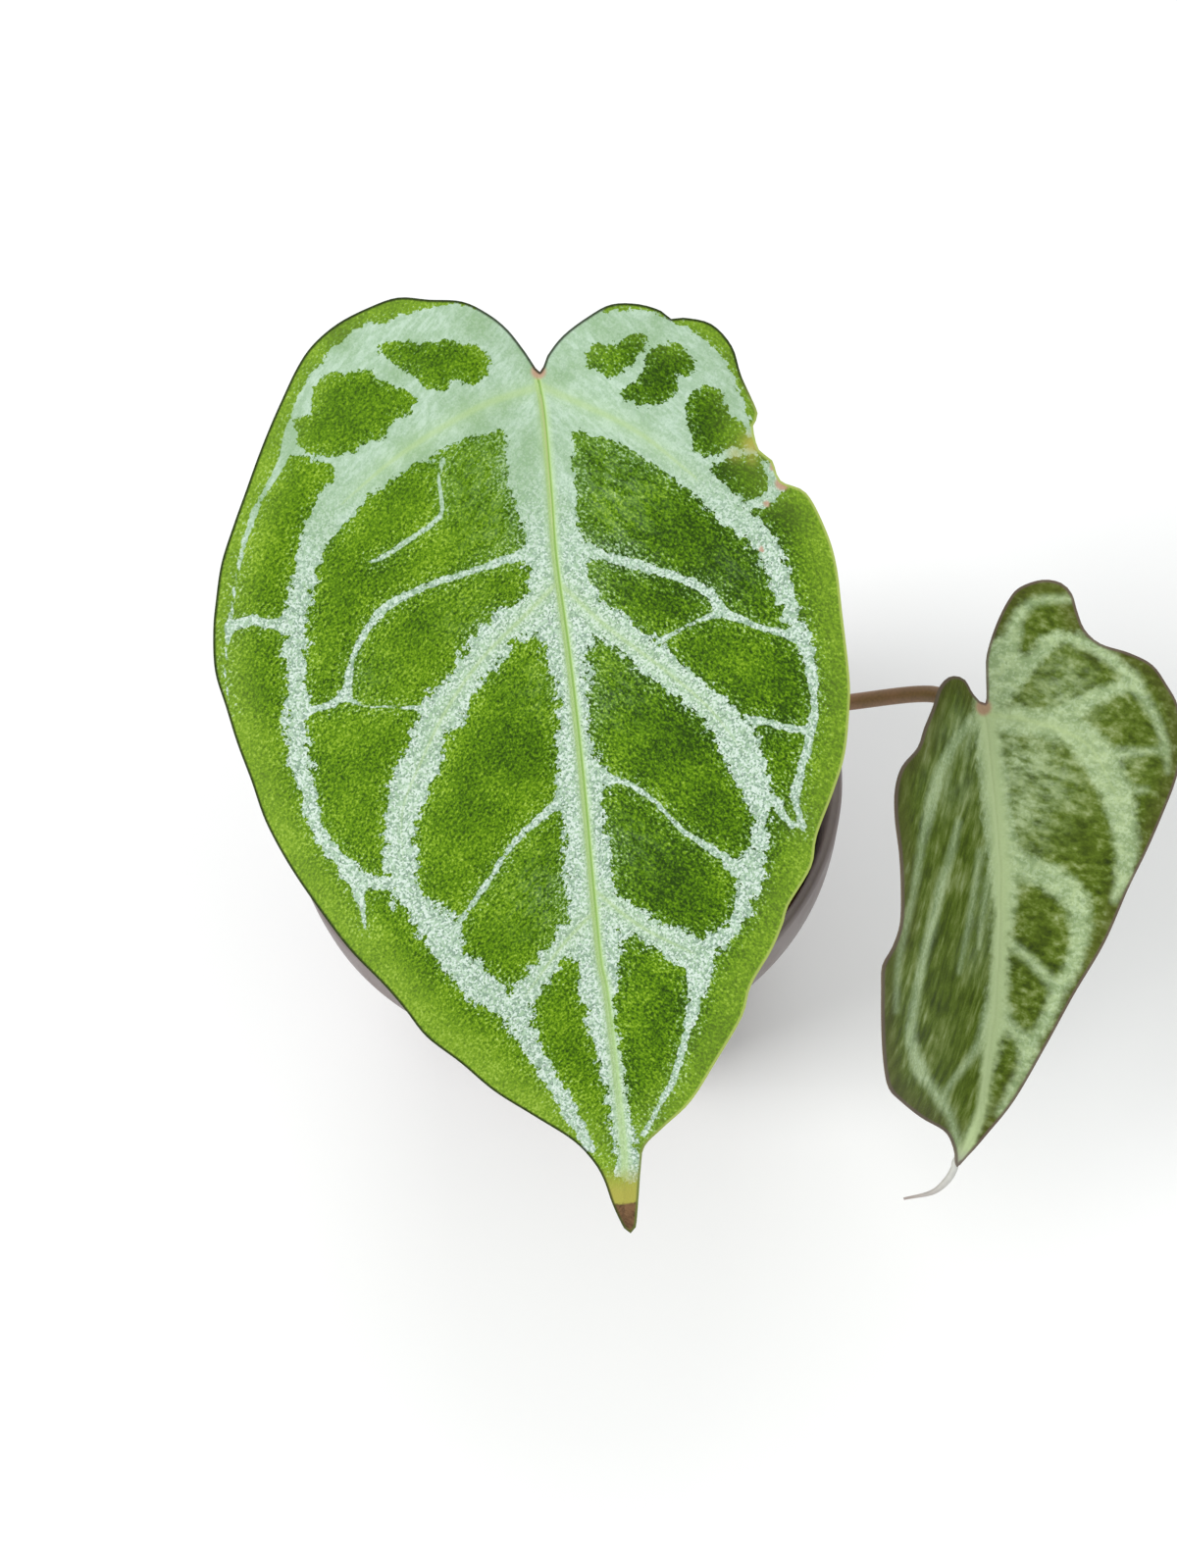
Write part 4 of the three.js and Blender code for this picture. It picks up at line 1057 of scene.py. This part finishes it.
def silver_colour(tree, look, leaf):
    """The silver itself: wisps, a green tint in the lobes, bright cells of painted sparkle, dark and
    black cells, and green again beside the veins, each laid over the ones before."""
    wisps = add(tree, "MapRange", [leaf["brush"], 0.4, 0.62], **SOFT)
    smooth = add(tree, "MapRange", [leaf["grainy"], 0.0, 1.0, look["lobe_tint"], 0.0])
    patch = add(tree, "MapRange", [leaf["blotch"], 0.62, 0.3], **SOFT)
    tinted = add(tree, "Math", [smooth, patch], **TIMES)
    coats = [(wisps, "silver"), (tinted, "silver_lobe")]
    # The bright cells are painted highlights, the sparkle of light on the silver.
    for pick, chances, strength, coat in (
        ("red", (0.55, 0.75), 1.0, "painted_sparkle"), ("red", (0.35, 0.2), 1.0, "silver_dark"),
        ("green", (0.07, 0.05), 0.6, "speck"),
    ):
        limits = [*chances, 0.0, strength * look["glint"]]
        picked = add(tree, "MapRange", [leaf[pick], *limits], **SOFT)
        coats.append((add(tree, "Math", [picked, leaf["grainy"]], **TIMES), coat))
    limits = [look["halo_width"], 0.3, 0.0, look["midrib_halo"]]
    by_spine = add(tree, "MapRange", [leaf["spine"], *limits], **SOFT)
    by_nerve = add(tree, "Math", [leaf["halo"], look["nerve_halo"]], **TIMES)
    coats.append((add(tree, "Math", [by_nerve, by_spine], **LARGER), "halo"))
    silver = look["silver_low"]
    for share, coat in coats:
        silver = add(tree, "Mix", {0: share, 6: silver, 7: look[coat]}, **COLOUR)
    return silver


def nerve_coats(tree, look, leaf):
    """The nerves: a soft pale line each, and in the midrib a darker crease beside its middle,
    painted shade where its groove lies.
    """
    from_nerve = add(tree, "Math", [leaf["nerve"]], operation="ABSOLUTE")
    half = add(tree, "Math", [leaf["nerve_width"], 0.01], **LARGER)
    line = add(tree, "Math", [from_nerve, half], operation="DIVIDE")
    thin = add(tree, "MapRange", [line, 1.0, 0.1, 0.0, look["nerve_strength"]], **SOFT)
    drawn = add(tree, "MapRange", [leaf["nerve_width"], 0.05, 0.5], **SOFT)
    lined = add(tree, "Math", [thin, drawn], **TIMES)
    waning = add(tree, "MapRange", [leaf["down"], look["tip"] + 6, look["tip"] + 60], **SOFT)
    holding = add(tree, "MapRange", [waning, 0.0, 1.0, 0.45, 0.95], **SOFT)
    core = add(tree, "MapRange", [leaf["spine"], look["midrib"], look["midrib"] * 0.45], **SOFT)
    ridge = add(tree, "Math", [core, holding], **TIMES)
    # Painted shade: a darker line beside the midrib's middle, where its groove is in shadow.
    aside = add(tree, "Math", [leaf["mid"], look["crease_at"]], **LESS)
    away = add(tree, "Math", [aside], operation="ABSOLUTE")
    limits = [look["crease_width"], look["crease_width"] * 0.2, 0.0, look["crease_strength"]]
    crease_shade = add(tree, "MapRange", [away, *limits], **SOFT)
    crease = add(tree, "Math", [crease_shade, waning], **TIMES)
    return [(lined, look["nerve"]), (ridge, look["midrib_colour"]), (crease, look["crease"])]


def worn_coats(tree, look, leaf):
    """The yellowed and withered tip, the scars, and the thin rim, which is pale on the leaf's right
    and dark on its left."""
    tip = look["tip"]
    yellow_line = add(tree, "Math", [leaf["dab"], 3.0, leaf["down"]], **TOTAL)
    at_tip = add(tree, "MapRange", [yellow_line, tip + 9.5, tip + 3.5], **SOFT)
    yellowed = add(tree, "Math", [at_tip, leaf["yellow"]], **LARGER)
    dead_line = add(tree, "Math", [leaf["dab"], leaf["down"]], operation="ADD")
    dead = add(tree, "MapRange", [dead_line, tip + 1.2, tip + 0.6], **SOFT)
    dry = add(tree, "MapRange", [leaf["brush"], 0.35, 0.65], **SOFT)
    withered = add(tree, "Mix", {0: dry, 6: look["withered_dark"], 7: look["withered"]}, **COLOUR)
    scarred = add(tree, "MapRange", [leaf["scar"], 0.3, 0.7, 0.0, 0.85], **SOFT)
    right = add(tree, "MapRange", [leaf["across"], -6, 12], **SOFT)
    lower = add(tree, "MapRange", [leaf["down"], 0, -12], **SOFT)
    sunny = add(tree, "Math", [right, lower], **TIMES)
    edging = add(tree, "Mix", {0: sunny, 6: look["rim_dark"], 7: look["rim_pale"]}, **COLOUR)
    limits = [look["rim"], look["rim"] * 0.4, 0.0, look["rim_strength"]]
    rim = add(tree, "MapRange", [leaf["edge"], *limits], **SOFT)
    return [(yellowed, look["yellow"]), (dead, withered), (scarred, look["scar"]), (rim, edging)]


def upper_face(name, look):
    """The whole skin: the green, with each coat of colour laid over the ones before it, and domed
    cells under a satin that is a little glossier where it is silver."""
    material, tree = new_material(name)
    leaf = leaf_patterns(tree, look)
    silvered = silver_share(tree, look, leaf)
    coats = [(silvered, silver_colour(tree, look, leaf))]
    coats += nerve_coats(tree, look, leaf) + worn_coats(tree, look, leaf)
    colour = green_between(tree, look, leaf)
    for share, coat in coats:
        colour = add(tree, "Mix", {0: share, 6: colour, 7: coat}, **COLOUR)
    sunk = add(tree, "Math", [leaf["dome"], leaf["grainy"]], **TIMES)
    domes = add(tree, "Math", [sunk, -1.0], **TIMES)
    height = add(tree, "Math", [leaf["dab"], 1.5, domes], **TOTAL)
    bump = add(tree, "Bump", {"Height": height, "Strength": look["bump"], "Distance": CELL_RELIEF})
    gloss = add(tree, "MapRange", [silvered, 0.0, 1.0, 0.5, 0.42], **SOFT)
    body = add(tree, "BsdfPrincipled", {
        "Base Color": colour,
        "Roughness": gloss,
        "Specular IOR Level": 0.1,
        "Normal": bump,
    })
    add(tree, "OutputMaterial", [body])
    return material


# The under face: paler and duller, without silver, with the network of small veins showing.
VEIN_NET = 3.2
UNDER_MOTTLE = 9
UNDER_PORE = 0.5


def under_face(name, pale, tinted, rim_code):
    material, tree = new_material(name)
    at = add(tree, "Attribute", give="Vector", attribute_name="leaf")
    edge = add(tree, "Attribute", give="Fac", attribute_name="edge")
    net = add(
        tree, "TexVoronoi", {"Vector": at, "Scale": 1 / VEIN_NET, "Randomness": 0.9},
        feature="DISTANCE_TO_EDGE",
    )
    mottle = add(tree, "TexNoise", {"Vector": at, "Scale": 1 / UNDER_MOTTLE, "Detail": 4.0})
    pores = add(tree, "TexNoise", {"Vector": at, "Scale": 1 / UNDER_PORE, "Detail": 2.0})
    tint = add(tree, "MapRange", [mottle, 0.35, 0.65])
    skin = add(tree, "Mix", {0: tint, 6: pale, 7: tinted}, **COLOUR)
    veined = add(tree, "MapRange", [net, 0.16, 0.0, 0.0, 0.22])
    lines = add(tree, "Mix", {0: veined, 6: skin, 7: "#c3cf9a"}, **COLOUR)
    rim = add(tree, "MapRange", [edge, 0.8, 0.2, 0.0, 0.8])
    edged = add(tree, "Mix", {0: rim, 6: lines, 7: rim_code}, **COLOUR)
    height = add(tree, "Math", [veined, 2.0, pores], **TOTAL)
    bump = add(tree, "Bump", {"Height": height, "Strength": 0.4, "Distance": CELL_RELIEF})
    body = add(tree, "BsdfPrincipled", {
        "Base Color": edged,
        "Roughness": 0.6,
        "Specular IOR Level": 0.3,
        "Normal": bump,
    })
    add(tree, "OutputMaterial", [body])
    return material


# Sizes are in mm, and shares and tones run from 0 to 1.
LARGE_LOOK = {
    # The size of each pattern, and how far dabs and strokes are drawn out.
    "grain": 0.3, "dab": 0.42, "lie": 0.8, "brush": 0.9, "sweep": 0.35, "blotch": 8, "ragged": 1.9,
    # The silver's edge, and the part of the leaf where the skin is smooth.
    "ragged_depth": 6.5, "crumb_depth": 2.4, "brush_depth": 0.6, "soft": 0.1,
    "smooth_above": -8, "least_grain": 0.15,
    # Pale dabs and haze in the green.
    "stray_reach": 4, "stray_from": 0.71, "stray_gain": 0.15, "stray_strength": 0.6,
    "wisp": (0.4, 0.62), "haze": 0.15,
    # What makes the green deeper or paler, with painted shade towards the leaf's right.
    "dab_tone": (0.7, 1.05), "calm": 0.75, "streak": 0.25, "broad": 0.28, "jitter": 0.12,
    "painted_shade_from_to": (-12, 14), "shade": 0.055, "deep": 0.14, "near_lift": 0.02,
    "margin": 9, "margin_lift": 0.06, "margin_strength": 0.35, "green_margin": "#86a53a",
    "greens": [(0.3, "#243f04"), (0.42, "#426702"), (0.52, "#5c8606"), (0.62, "#7da21c"), (0.76, "#aac956")],
    # The silver's colours, with the painted sparkle of its bright cells.
    "silver": "#b4cdb5", "silver_low": "#9fbc9c", "silver_lobe": "#8bac80", "lobe_tint": 1.0,
    "painted_sparkle": "#dce9e0", "silver_dark": "#7d9684", "speck": "#566857", "glint": 0.75,
    "halo": "#aecb94", "halo_width": 1.7, "midrib_halo": 0.6, "nerve_halo": 0.3,
    # The nerves, the midrib and its crease, a line of painted shade.
    "nerve": "#acc68a", "nerve_strength": 0.55, "midrib": 0.75, "midrib_colour": "#b0cc88",
    "crease": "#739c3a", "crease_at": 0.2, "crease_width": 0.28, "crease_strength": 0.75,
    # The tip, the scars, the rim and the cells' relief.
    "tip": -138, "yellow": "#a8a54c", "withered": "#7a5d40", "withered_dark": "#4c3826",
    "scar": "#b98f78", "rim": 0.6, "rim_strength": 0.9, "rim_dark": "#1b230f", "rim_pale": "#a3b45c",
    "bump": 0.5,
}
leaf_large.data.materials.append(upper_face("velvet_leaf_silver_veined", LARGE_LOOK))
leaf_large.data.materials.append(under_face("leaf_underside", "#8fae5e", "#7d9d4b", "#5b6b35"))
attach(leaf_large, "root")
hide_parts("leaf_large")

# The ribs beneath the blade: the midrib and the main veins stand out of the under face as round
# cords that taper away. They grew with the blade.
RIB_MOTTLE = 6 * MM
RIB_SIDES = 12
RIB_OUT = 0.7

rib_skin, tree = new_material("pale_leaf_rib")
at = add(tree, "TexCoord", give="Object")
mottle = add(tree, "TexNoise", {"Vector": at, "Scale": 1 / RIB_MOTTLE, "Detail": 3.0})
skin = add(tree, "Mix", {0: mottle, 6: "#b4c284", 7: "#9cae68"}, **COLOUR)
body = add(tree, "BsdfPrincipled", {"Base Color": skin, "Roughness": 0.5})
add(tree, "OutputMaterial", [body])


def ribs(name, routes, place, relief, node):
    """Rods along the routes, each x, y and radius, partly sunk into the blade's under face."""
    joined = bmesh.new()
    for route in routes:
        line = smooth_route(route, 1.5)
        x, y, radius = line.T
        below = relief(x, y) - BLADE_THICKNESS / 2 - RIB_OUT * radius
        flat = np.stack([x, y, below], axis=1)
        world = flat @ np.array(place.to_3x3()).T + np.array(place.translation)
        bm = rod(name, world, radius, RIB_SIDES)
        part = bpy.data.meshes.new(name)
        bm.to_mesh(part)
        bm.free()
        joined.from_mesh(part)
        bpy.data.meshes.remove(part)
    piece = object_from(name, joined)
    piece.data.materials.append(rib_skin)
    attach(piece, "root")
    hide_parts(node)


LARGE_RIBS = [
    [(0, -1, 1.3), (0, -30, 1.1), (0, -64, 0.85), (-0.5, -96, 0.6), (0, -128, 0.3)],
    [(0, -2, 0.9), (-17.5, -5.5, 0.8), (-34, -15.5, 0.6), (-43, -33, 0.45), (-45.5, -55, 0.35),
     (-41, -76, 0.15)],
    [(0.5, -2, 0.9), (16, -10, 0.8), (30, -25, 0.55), (37, -41, 0.4), (39, -56, 0.3),
     (35.5, -70, 0.15)],
    [(0, -32, 0.7), (-14.5, -43.5, 0.6), (-25.5, -58.5, 0.5), (-31, -76, 0.4), (-25, -92, 0.3),
     (-13, -110, 0.15)],
    [(0, -32, 0.7), (15, -48.5, 0.6), (26, -61.5, 0.45), (28, -76, 0.35), (21.5, -93, 0.25),
     (14, -105, 0.12)],
    [(0, -86, 0.45), (-11, -97, 0.35), (-15, -101.5, 0.2)],
    [(0, -83, 0.45), (9.5, -92.5, 0.35), (16, -97, 0.2)],
    [(-2, -26, 0.4), (-19, -30.5, 0.3), (-33, -37.5, 0.2), (-44, -49, 0.12)],
    [(1.5, -27, 0.4), (19, -34, 0.3), (28, -42, 0.2), (38, -46, 0.12)],
    [(0, 0, 0.6), (-7, 8, 0.45), (-20, 12, 0.3), (-34, 8, 0.15)],
    [(0, 0, 0.6), (8, 6, 0.4), (20, 7, 0.25), (30, 0, 0.12)],
]
ribs("leaf_large_ribs", LARGE_RIBS, place, large_relief, "leaf_large")

# The small blade: a young leaf tinged with mauve, darker partly as painted shade, still folded
# along its bowed midrib with the left half raised and the right margin rolled under.
SMALL_OUTLINE = [
    (0, 2), (-2.5, 3.5), (-4.5, 6), (-7, 6.5), (-9, 5.5), (-10.5, 3.5), (-11.5, 0.5),
    (-13.5, -3.5), (-15, -7), (-18.5, -10.5), (-20, -14.5), (-20, -19.5), (-19, -25.5),
    (-18.5, -31.5), (-18.5, -37.5), (-20, -41.5), (-22, -44.5), (-22, -48.5), (-21.5, -55.5),
    (-20.5, -62), (-19, -66.5), (-16, -69.5), (-11, -73.5), (-5.5, -77), (-3.5, -79.5),
    (-2.5, -82), (-2, -84.5), (0.5, -82), (3.5, -78), (8, -71.5), (13, -61.5), (18, -51),
    (23, -41.5), (27, -31.5), (30.5, -24), (33.5, -17), (35.5, -12), (36.5, -8), (36.5, -3),
    (36, 2.5), (33.5, 6.5), (30.5, 10), (26, 12), (20.5, 13.5), (17.5, 16), (16, 19.5),
    (15, 22.5), (13, 24.5), (9.5, 25), (5.5, 23.5), (3.5, 21), (1.5, 16.5), (0, 11), (0, 7),
]
SMALL_BANDS = [
    [(-0.5, 1.5, 2.9), (0, -2, 4.7), (1, -7.5, 5.8), (2, -13, 6.2), (3, -20, 6.5),
     (4, -27.5, 6.2), (4.5, -34.5, 4.7), (4, -42, 3.6), (4, -49.5, 4), (3.5, -56.5, 4.7),
     (3, -62, 3.6), (2.5, -67.5, 2.2), (2, -73.5, 1.8), (-0.5, -81, 2.2), (-1.5, -84, 1.5)],
    [(0, -0.5, 4), (4.5, -1, 5.4), (10, -1.5, 5.4), (15.5, -2.5, 5.4), (19, -5.5, 6.2),
     (22, -9.5, 6.2), (24.5, -15, 5.8), (26, -20.5, 5.1), (26.5, -26, 4), (25.5, -30.5, 2.5),
     (24.5, -33.5, 1.1)],
    [(0.5, 2, 4), (1.5, 7, 5.4), (3, 11.5, 5.8), (4.5, 15, 2.9), (5.5, 18, 2.2),
     (7.5, 20.5, 1.5), (11.5, 21.5, 1.1), (15, 21.5, 0.9)],
    [(2, 5, 7.3), (6, 9.5, 6.2), (9.5, 13, 4.7), (13, 15, 2.9), (16.5, 14, 2.5),
     (20, 12.5, 2.2), (24, 9.5, 2.2), (27, 6.5, 2.2), (29.5, 3, 1.8), (32, -1, 1.4),
     (33.5, -5, 1), (34, -9.5, 0.5)],
    [(12.5, -1, 4.7), (16.5, 1.5, 4), (20.5, 4, 2.9), (24, 5.5, 2.5), (27, 6.5, 2.2)],
    [(21, -7.5, 3.6), (25, -6.5, 1.8), (29, -6.2, 1), (33.5, -5.5, 0.6)],
    [(24.5, -14.5, 2.5), (27, -13.5, 1.1), (30, -13, 0.4)],
    [(4, -26, 4.4), (8, -28, 4.7), (12, -29.5, 4.7), (15.5, -31.5, 4.7), (18, -35, 4.4),
     (18.5, -39.5, 3.6), (18, -44, 2.9), (16.5, -48, 2.5), (15, -50.5, 2.5),
     (13.5, -55.5, 2.4), (11.5, -59, 2.2), (10, -62, 2.9), (9.5, -65, 2.2), (7.5, -69.5, 1.5),
     (5.5, -74, 1.1)],
    [(4.5, -41.5, 1.1), (7, -43, 1.3), (9.5, -45, 1.5), (11.5, -47, 1.5), (15, -50.5, 1.8)],
    [(4, -54, 2.9), (6, -57, 2), (8.5, -59.5, 2.2), (10, -61.5, 2.5)],
    [(-3, -1.5, 1.8), (-6, -4.5, 2.5), (-9, -9, 2.4), (-11.5, -14, 2.7), (-13, -19, 2.2),
     (-14.5, -24, 1.5), (-16, -31.5, 0.9), (-17.5, -38, 0.7), (-19, -45, 0.7), (-19, -52.5, 0.5)],
    [(-6, -20, 1.1), (-8, -26.5, 1.6), (-10, -31.5, 2), (-11.5, -37, 2), (-14, -46, 1.8),
     (-15.5, -56.5, 2), (-14, -61.5, 2.5), (-12.5, -64.5, 2.5), (-10, -67.5, 1.6),
     (-7.5, -70.5, 1.6), (-4.5, -74.5, 1.5), (-1.5, -82, 1.1)],
    [(-1, -25.5, 0.9), (-3, -37.5, 1.1), (-5, -47, 0.7)],
    [(1, -31, 0.9), (0, -36.5, 0.9), (-0.5, -43, 0.7)],
    [(2, -55.5, 1.8), (1, -60, 1.6), (-1.5, -64, 1.5), (-4, -66.5, 1.3), (-7, -70.5, 1.1)],
]
SMALL_ISLANDS = [
    [(6, 11.5), (6, 15), (8.5, 19), (11.5, 20), (15.5, 19.5), (16.5, 15.5), (12, 15.5),
     (9, 13.5), (7, 11)],
]
SMALL_MIDRIB = [(-0.5, 1), (0.5, -2), (1.5, -9.5), (2.5, -16.5), (3.5, -25.5), (4, -31), (4, -53),
                (3.5, -58.5), (2.5, -69.5), (1.5, -77), (-1, -82.5)]
SMALL_NERVES = [
    [(0, 0, 0.9), (10, -1.5, 0.7), (19, -5.5, 0.5), (24.5, -15, 0.3)],
]
SMALL_DEEP = [(-17, -20, 4, 0.5), (-18, -55, 4, 0.4), (-11, -74, 3, 0.5), (12, -38, 4, 0.4),
              (12, -48, 3, 0.7), (20, -24, 6, 0.4), (10, 22, 4, 0.5), (8, -63, 2, 0.6)]
SMALL_DUST = [(7, -8, 7, 1.0), (7, -17, 6, 0.9), (14, 3, 6, 0.7), (12, -12, 6, 0.7), (8, -23, 4, 0.5),
              (-5, -5, 5, 0.7), (-8, -13, 5, 0.5), (27, -8, 2.5, 0.2), (-1, -45, 4, 0.3), (14, 8, 4, 0.5)]
SMALL_SCARS = [(-0.4, 1.2, 2, 0.9)]


def small_relief(x, y):
    """The small blade's height over the flat: two halves folded up from a bowed midrib."""
    midrib = 4.2 * np.sin(math.pi * np.clip(-y / 82, 0, 1))
    out = x - midrib
    raised = 1.5 * (np.sqrt(out * out + 16) - 4)
    rolled = 0.12 * out - 0.012 * np.maximum(0, out - 14) ** 2
    return np.where(out < 0, raised, rolled) - 0.0014 * np.maximum(0, -30 - y) ** 2


bm = cut_net(SMALL_OUTLINE, net_lines(-22, 37, 0.9, ()), net_lines(-85, 25, NET_PITCH, ()))
small_places = places_of(bm)
small_fields = marking_fields(
    small_places, SMALL_OUTLINE, SMALL_BANDS, SMALL_MIDRIB, SMALL_NERVES, [], SMALL_ISLANDS,
    SMALL_DEEP, SMALL_DUST, SMALL_SCARS, [],
)
place = Matrix.Translation(SMALL_LEAF_BASE) @ Matrix.Rotation(LEAF_LEAN, 4, "X")
place = place @ Matrix.Rotation(SMALL_LEAF_TURN, 4, "Z")
groove = groove_of(small_places, small_fields, 0.15, 0.25, 2, -84)
strokes = strokes_along((-0.3, -0.95), (0.97, -0.25), 0.3)
leaf_small = bend_blade("leaf_small_blade", bm, place, small_relief, strokes, groove, small_fields)

# The large leaf's look with darker greens: partly a younger green, partly painted shade.
SMALL_LOOK = dict(
    LARGE_LOOK, grain=0.45, dab=1.2, lie=0.7, brush=1.9, sweep=0.55, blotch=7,
    ragged_depth=2.8, crumb_depth=0.8, brush_depth=1.2, soft=1.1, smooth_above=60, least_grain=0.1,
    stray_reach=6, stray_from=0.74, stray_gain=0.2, stray_strength=0.12, wisp=(0.25, 0.65), haze=0.9,
    dab_tone=(0.4, 0.7), calm=0.8, streak=0.5, broad=0.5, jitter=0.05,
    painted_shade_from_to=(60, 90), shade=0.0, deep=0.15, near_lift=0.03,
    margin=5, margin_lift=0.0, margin_strength=0.5, green_margin="#4c4a1e",
    greens=[(0.24, "#2b390a"), (0.4, "#42530e"), (0.52, "#55691a"), (0.64, "#728240"), (0.82, "#9aa976")],
    silver="#adc08f", silver_low="#8ca171", silver_lobe="#8ea273", lobe_tint=0.5,
    painted_sparkle="#bfd2ae", silver_dark="#869c72", speck="#6a7a55", glint=0.3,
    halo="#b3c691", halo_width=3.0, midrib_halo=0.9,
    nerve="#b0c388", nerve_strength=0.4, midrib=0.9, midrib_colour="#b3c592",
    crease="#8fa661", crease_at=0.0, crease_width=0.3, crease_strength=0.15,
    tip=-88, yellow="#a6a69b", withered="#9a8a72",
    scar="#a8826a", rim=0.7, rim_strength=0.8, rim_dark="#66564f", rim_pale="#66564f", bump=0.35,
)
leaf_small.data.materials.append(upper_face("young_leaf_silver_veined", SMALL_LOOK))
leaf_small.data.materials.append(under_face("young_leaf_underside", "#8f9a63", "#7c8350", "#7d6d6a"))
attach(leaf_small, "root")
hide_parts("leaf_small")

SMALL_RIBS = [
    [(0, -1, 0.9), (3, -20, 0.75), (4, -42, 0.6), (3, -65, 0.35), (0, -80, 0.15)],
    [(0.5, -1, 0.6), (15.5, -2.5, 0.5), (24, -15, 0.35), (25, -32, 0.15)],
    [(4, -26, 0.45), (15.5, -31.5, 0.35), (18, -44, 0.25), (10, -62, 0.12)],
    [(0, -2, 0.5), (-8, -26, 0.35), (-14, -46, 0.25), (-12, -64, 0.12)],
    [(0.5, 1, 0.5), (3, 11, 0.4), (13, 15, 0.25), (24, 9, 0.12)],
]
ribs("leaf_small_ribs", SMALL_RIBS, place, small_relief, "leaf_small")

# The small leaf's drip tip: a soft thread that the blade draws out into, bloomed with grey pink,
# and curled to the left.
DRIP_TIP = [(-1.5, -82.2), (-2.1, -83.6), (-2.4, -85.2), (-3.6, -87.4), (-6.2, -89.7), (-11.4, -91.1)]
TIP_RADIUS = 0.5
TIP_SWELL = 0.2
TIP_TAPER = 0.45
TIP_SIDES = 16
TIP_MOTTLE = 1.2 * MM

line = smooth_route(DRIP_TIP, 0.4)
heights = small_relief(np.zeros(len(line)), line[:, 1])
world = np.column_stack([line, heights]) @ np.array(place.to_3x3()).T + np.array(place.translation)
share = np.linspace(0, 1, len(line))
radii = TIP_RADIUS + TIP_SWELL * smoothstep(0, 0.15, share) - TIP_TAPER * smoothstep(0.3, 1, share)
drip_tip = object_from("leaf_small_drip_tip", rod("drip_tip", world, radii, TIP_SIDES))

# The tip's skin: a waxy bloom over a thin thread of leaf, pinker and greyer towards its end.
end = place @ Vector((-11, -91, -5)) * MM
root = place @ Vector((-2, -83, -4)) * MM

material, tree = new_material("drip_tip_bloom")
at = add(tree, "TexCoord", give="Object")
across = add(tree, "SeparateXYZ", {0: at})
fade = add(tree, "MapRange", [across, end.x, root.x])
mottle = add(tree, "TexNoise", {"Vector": at, "Scale": 1 / TIP_MOTTLE, "Detail": 2.0})
bloom = add(tree, "Mix", {0: fade, 6: "#a39690", 7: "#c3c4bd"}, **COLOUR)
flecks = add(tree, "MapRange", {"Value": mottle, "To Min": 0.85, "To Max": 1.15})
shaded = add(tree, "VectorMath", {0: bloom, "Scale": flecks}, operation="SCALE")
body = add(tree, "BsdfPrincipled", {"Base Color": shaded, "Roughness": 0.5})
add(tree, "OutputMaterial", [body])
drip_tip.data.materials.append(material)
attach(drip_tip, "root")
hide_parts("leaf_small")
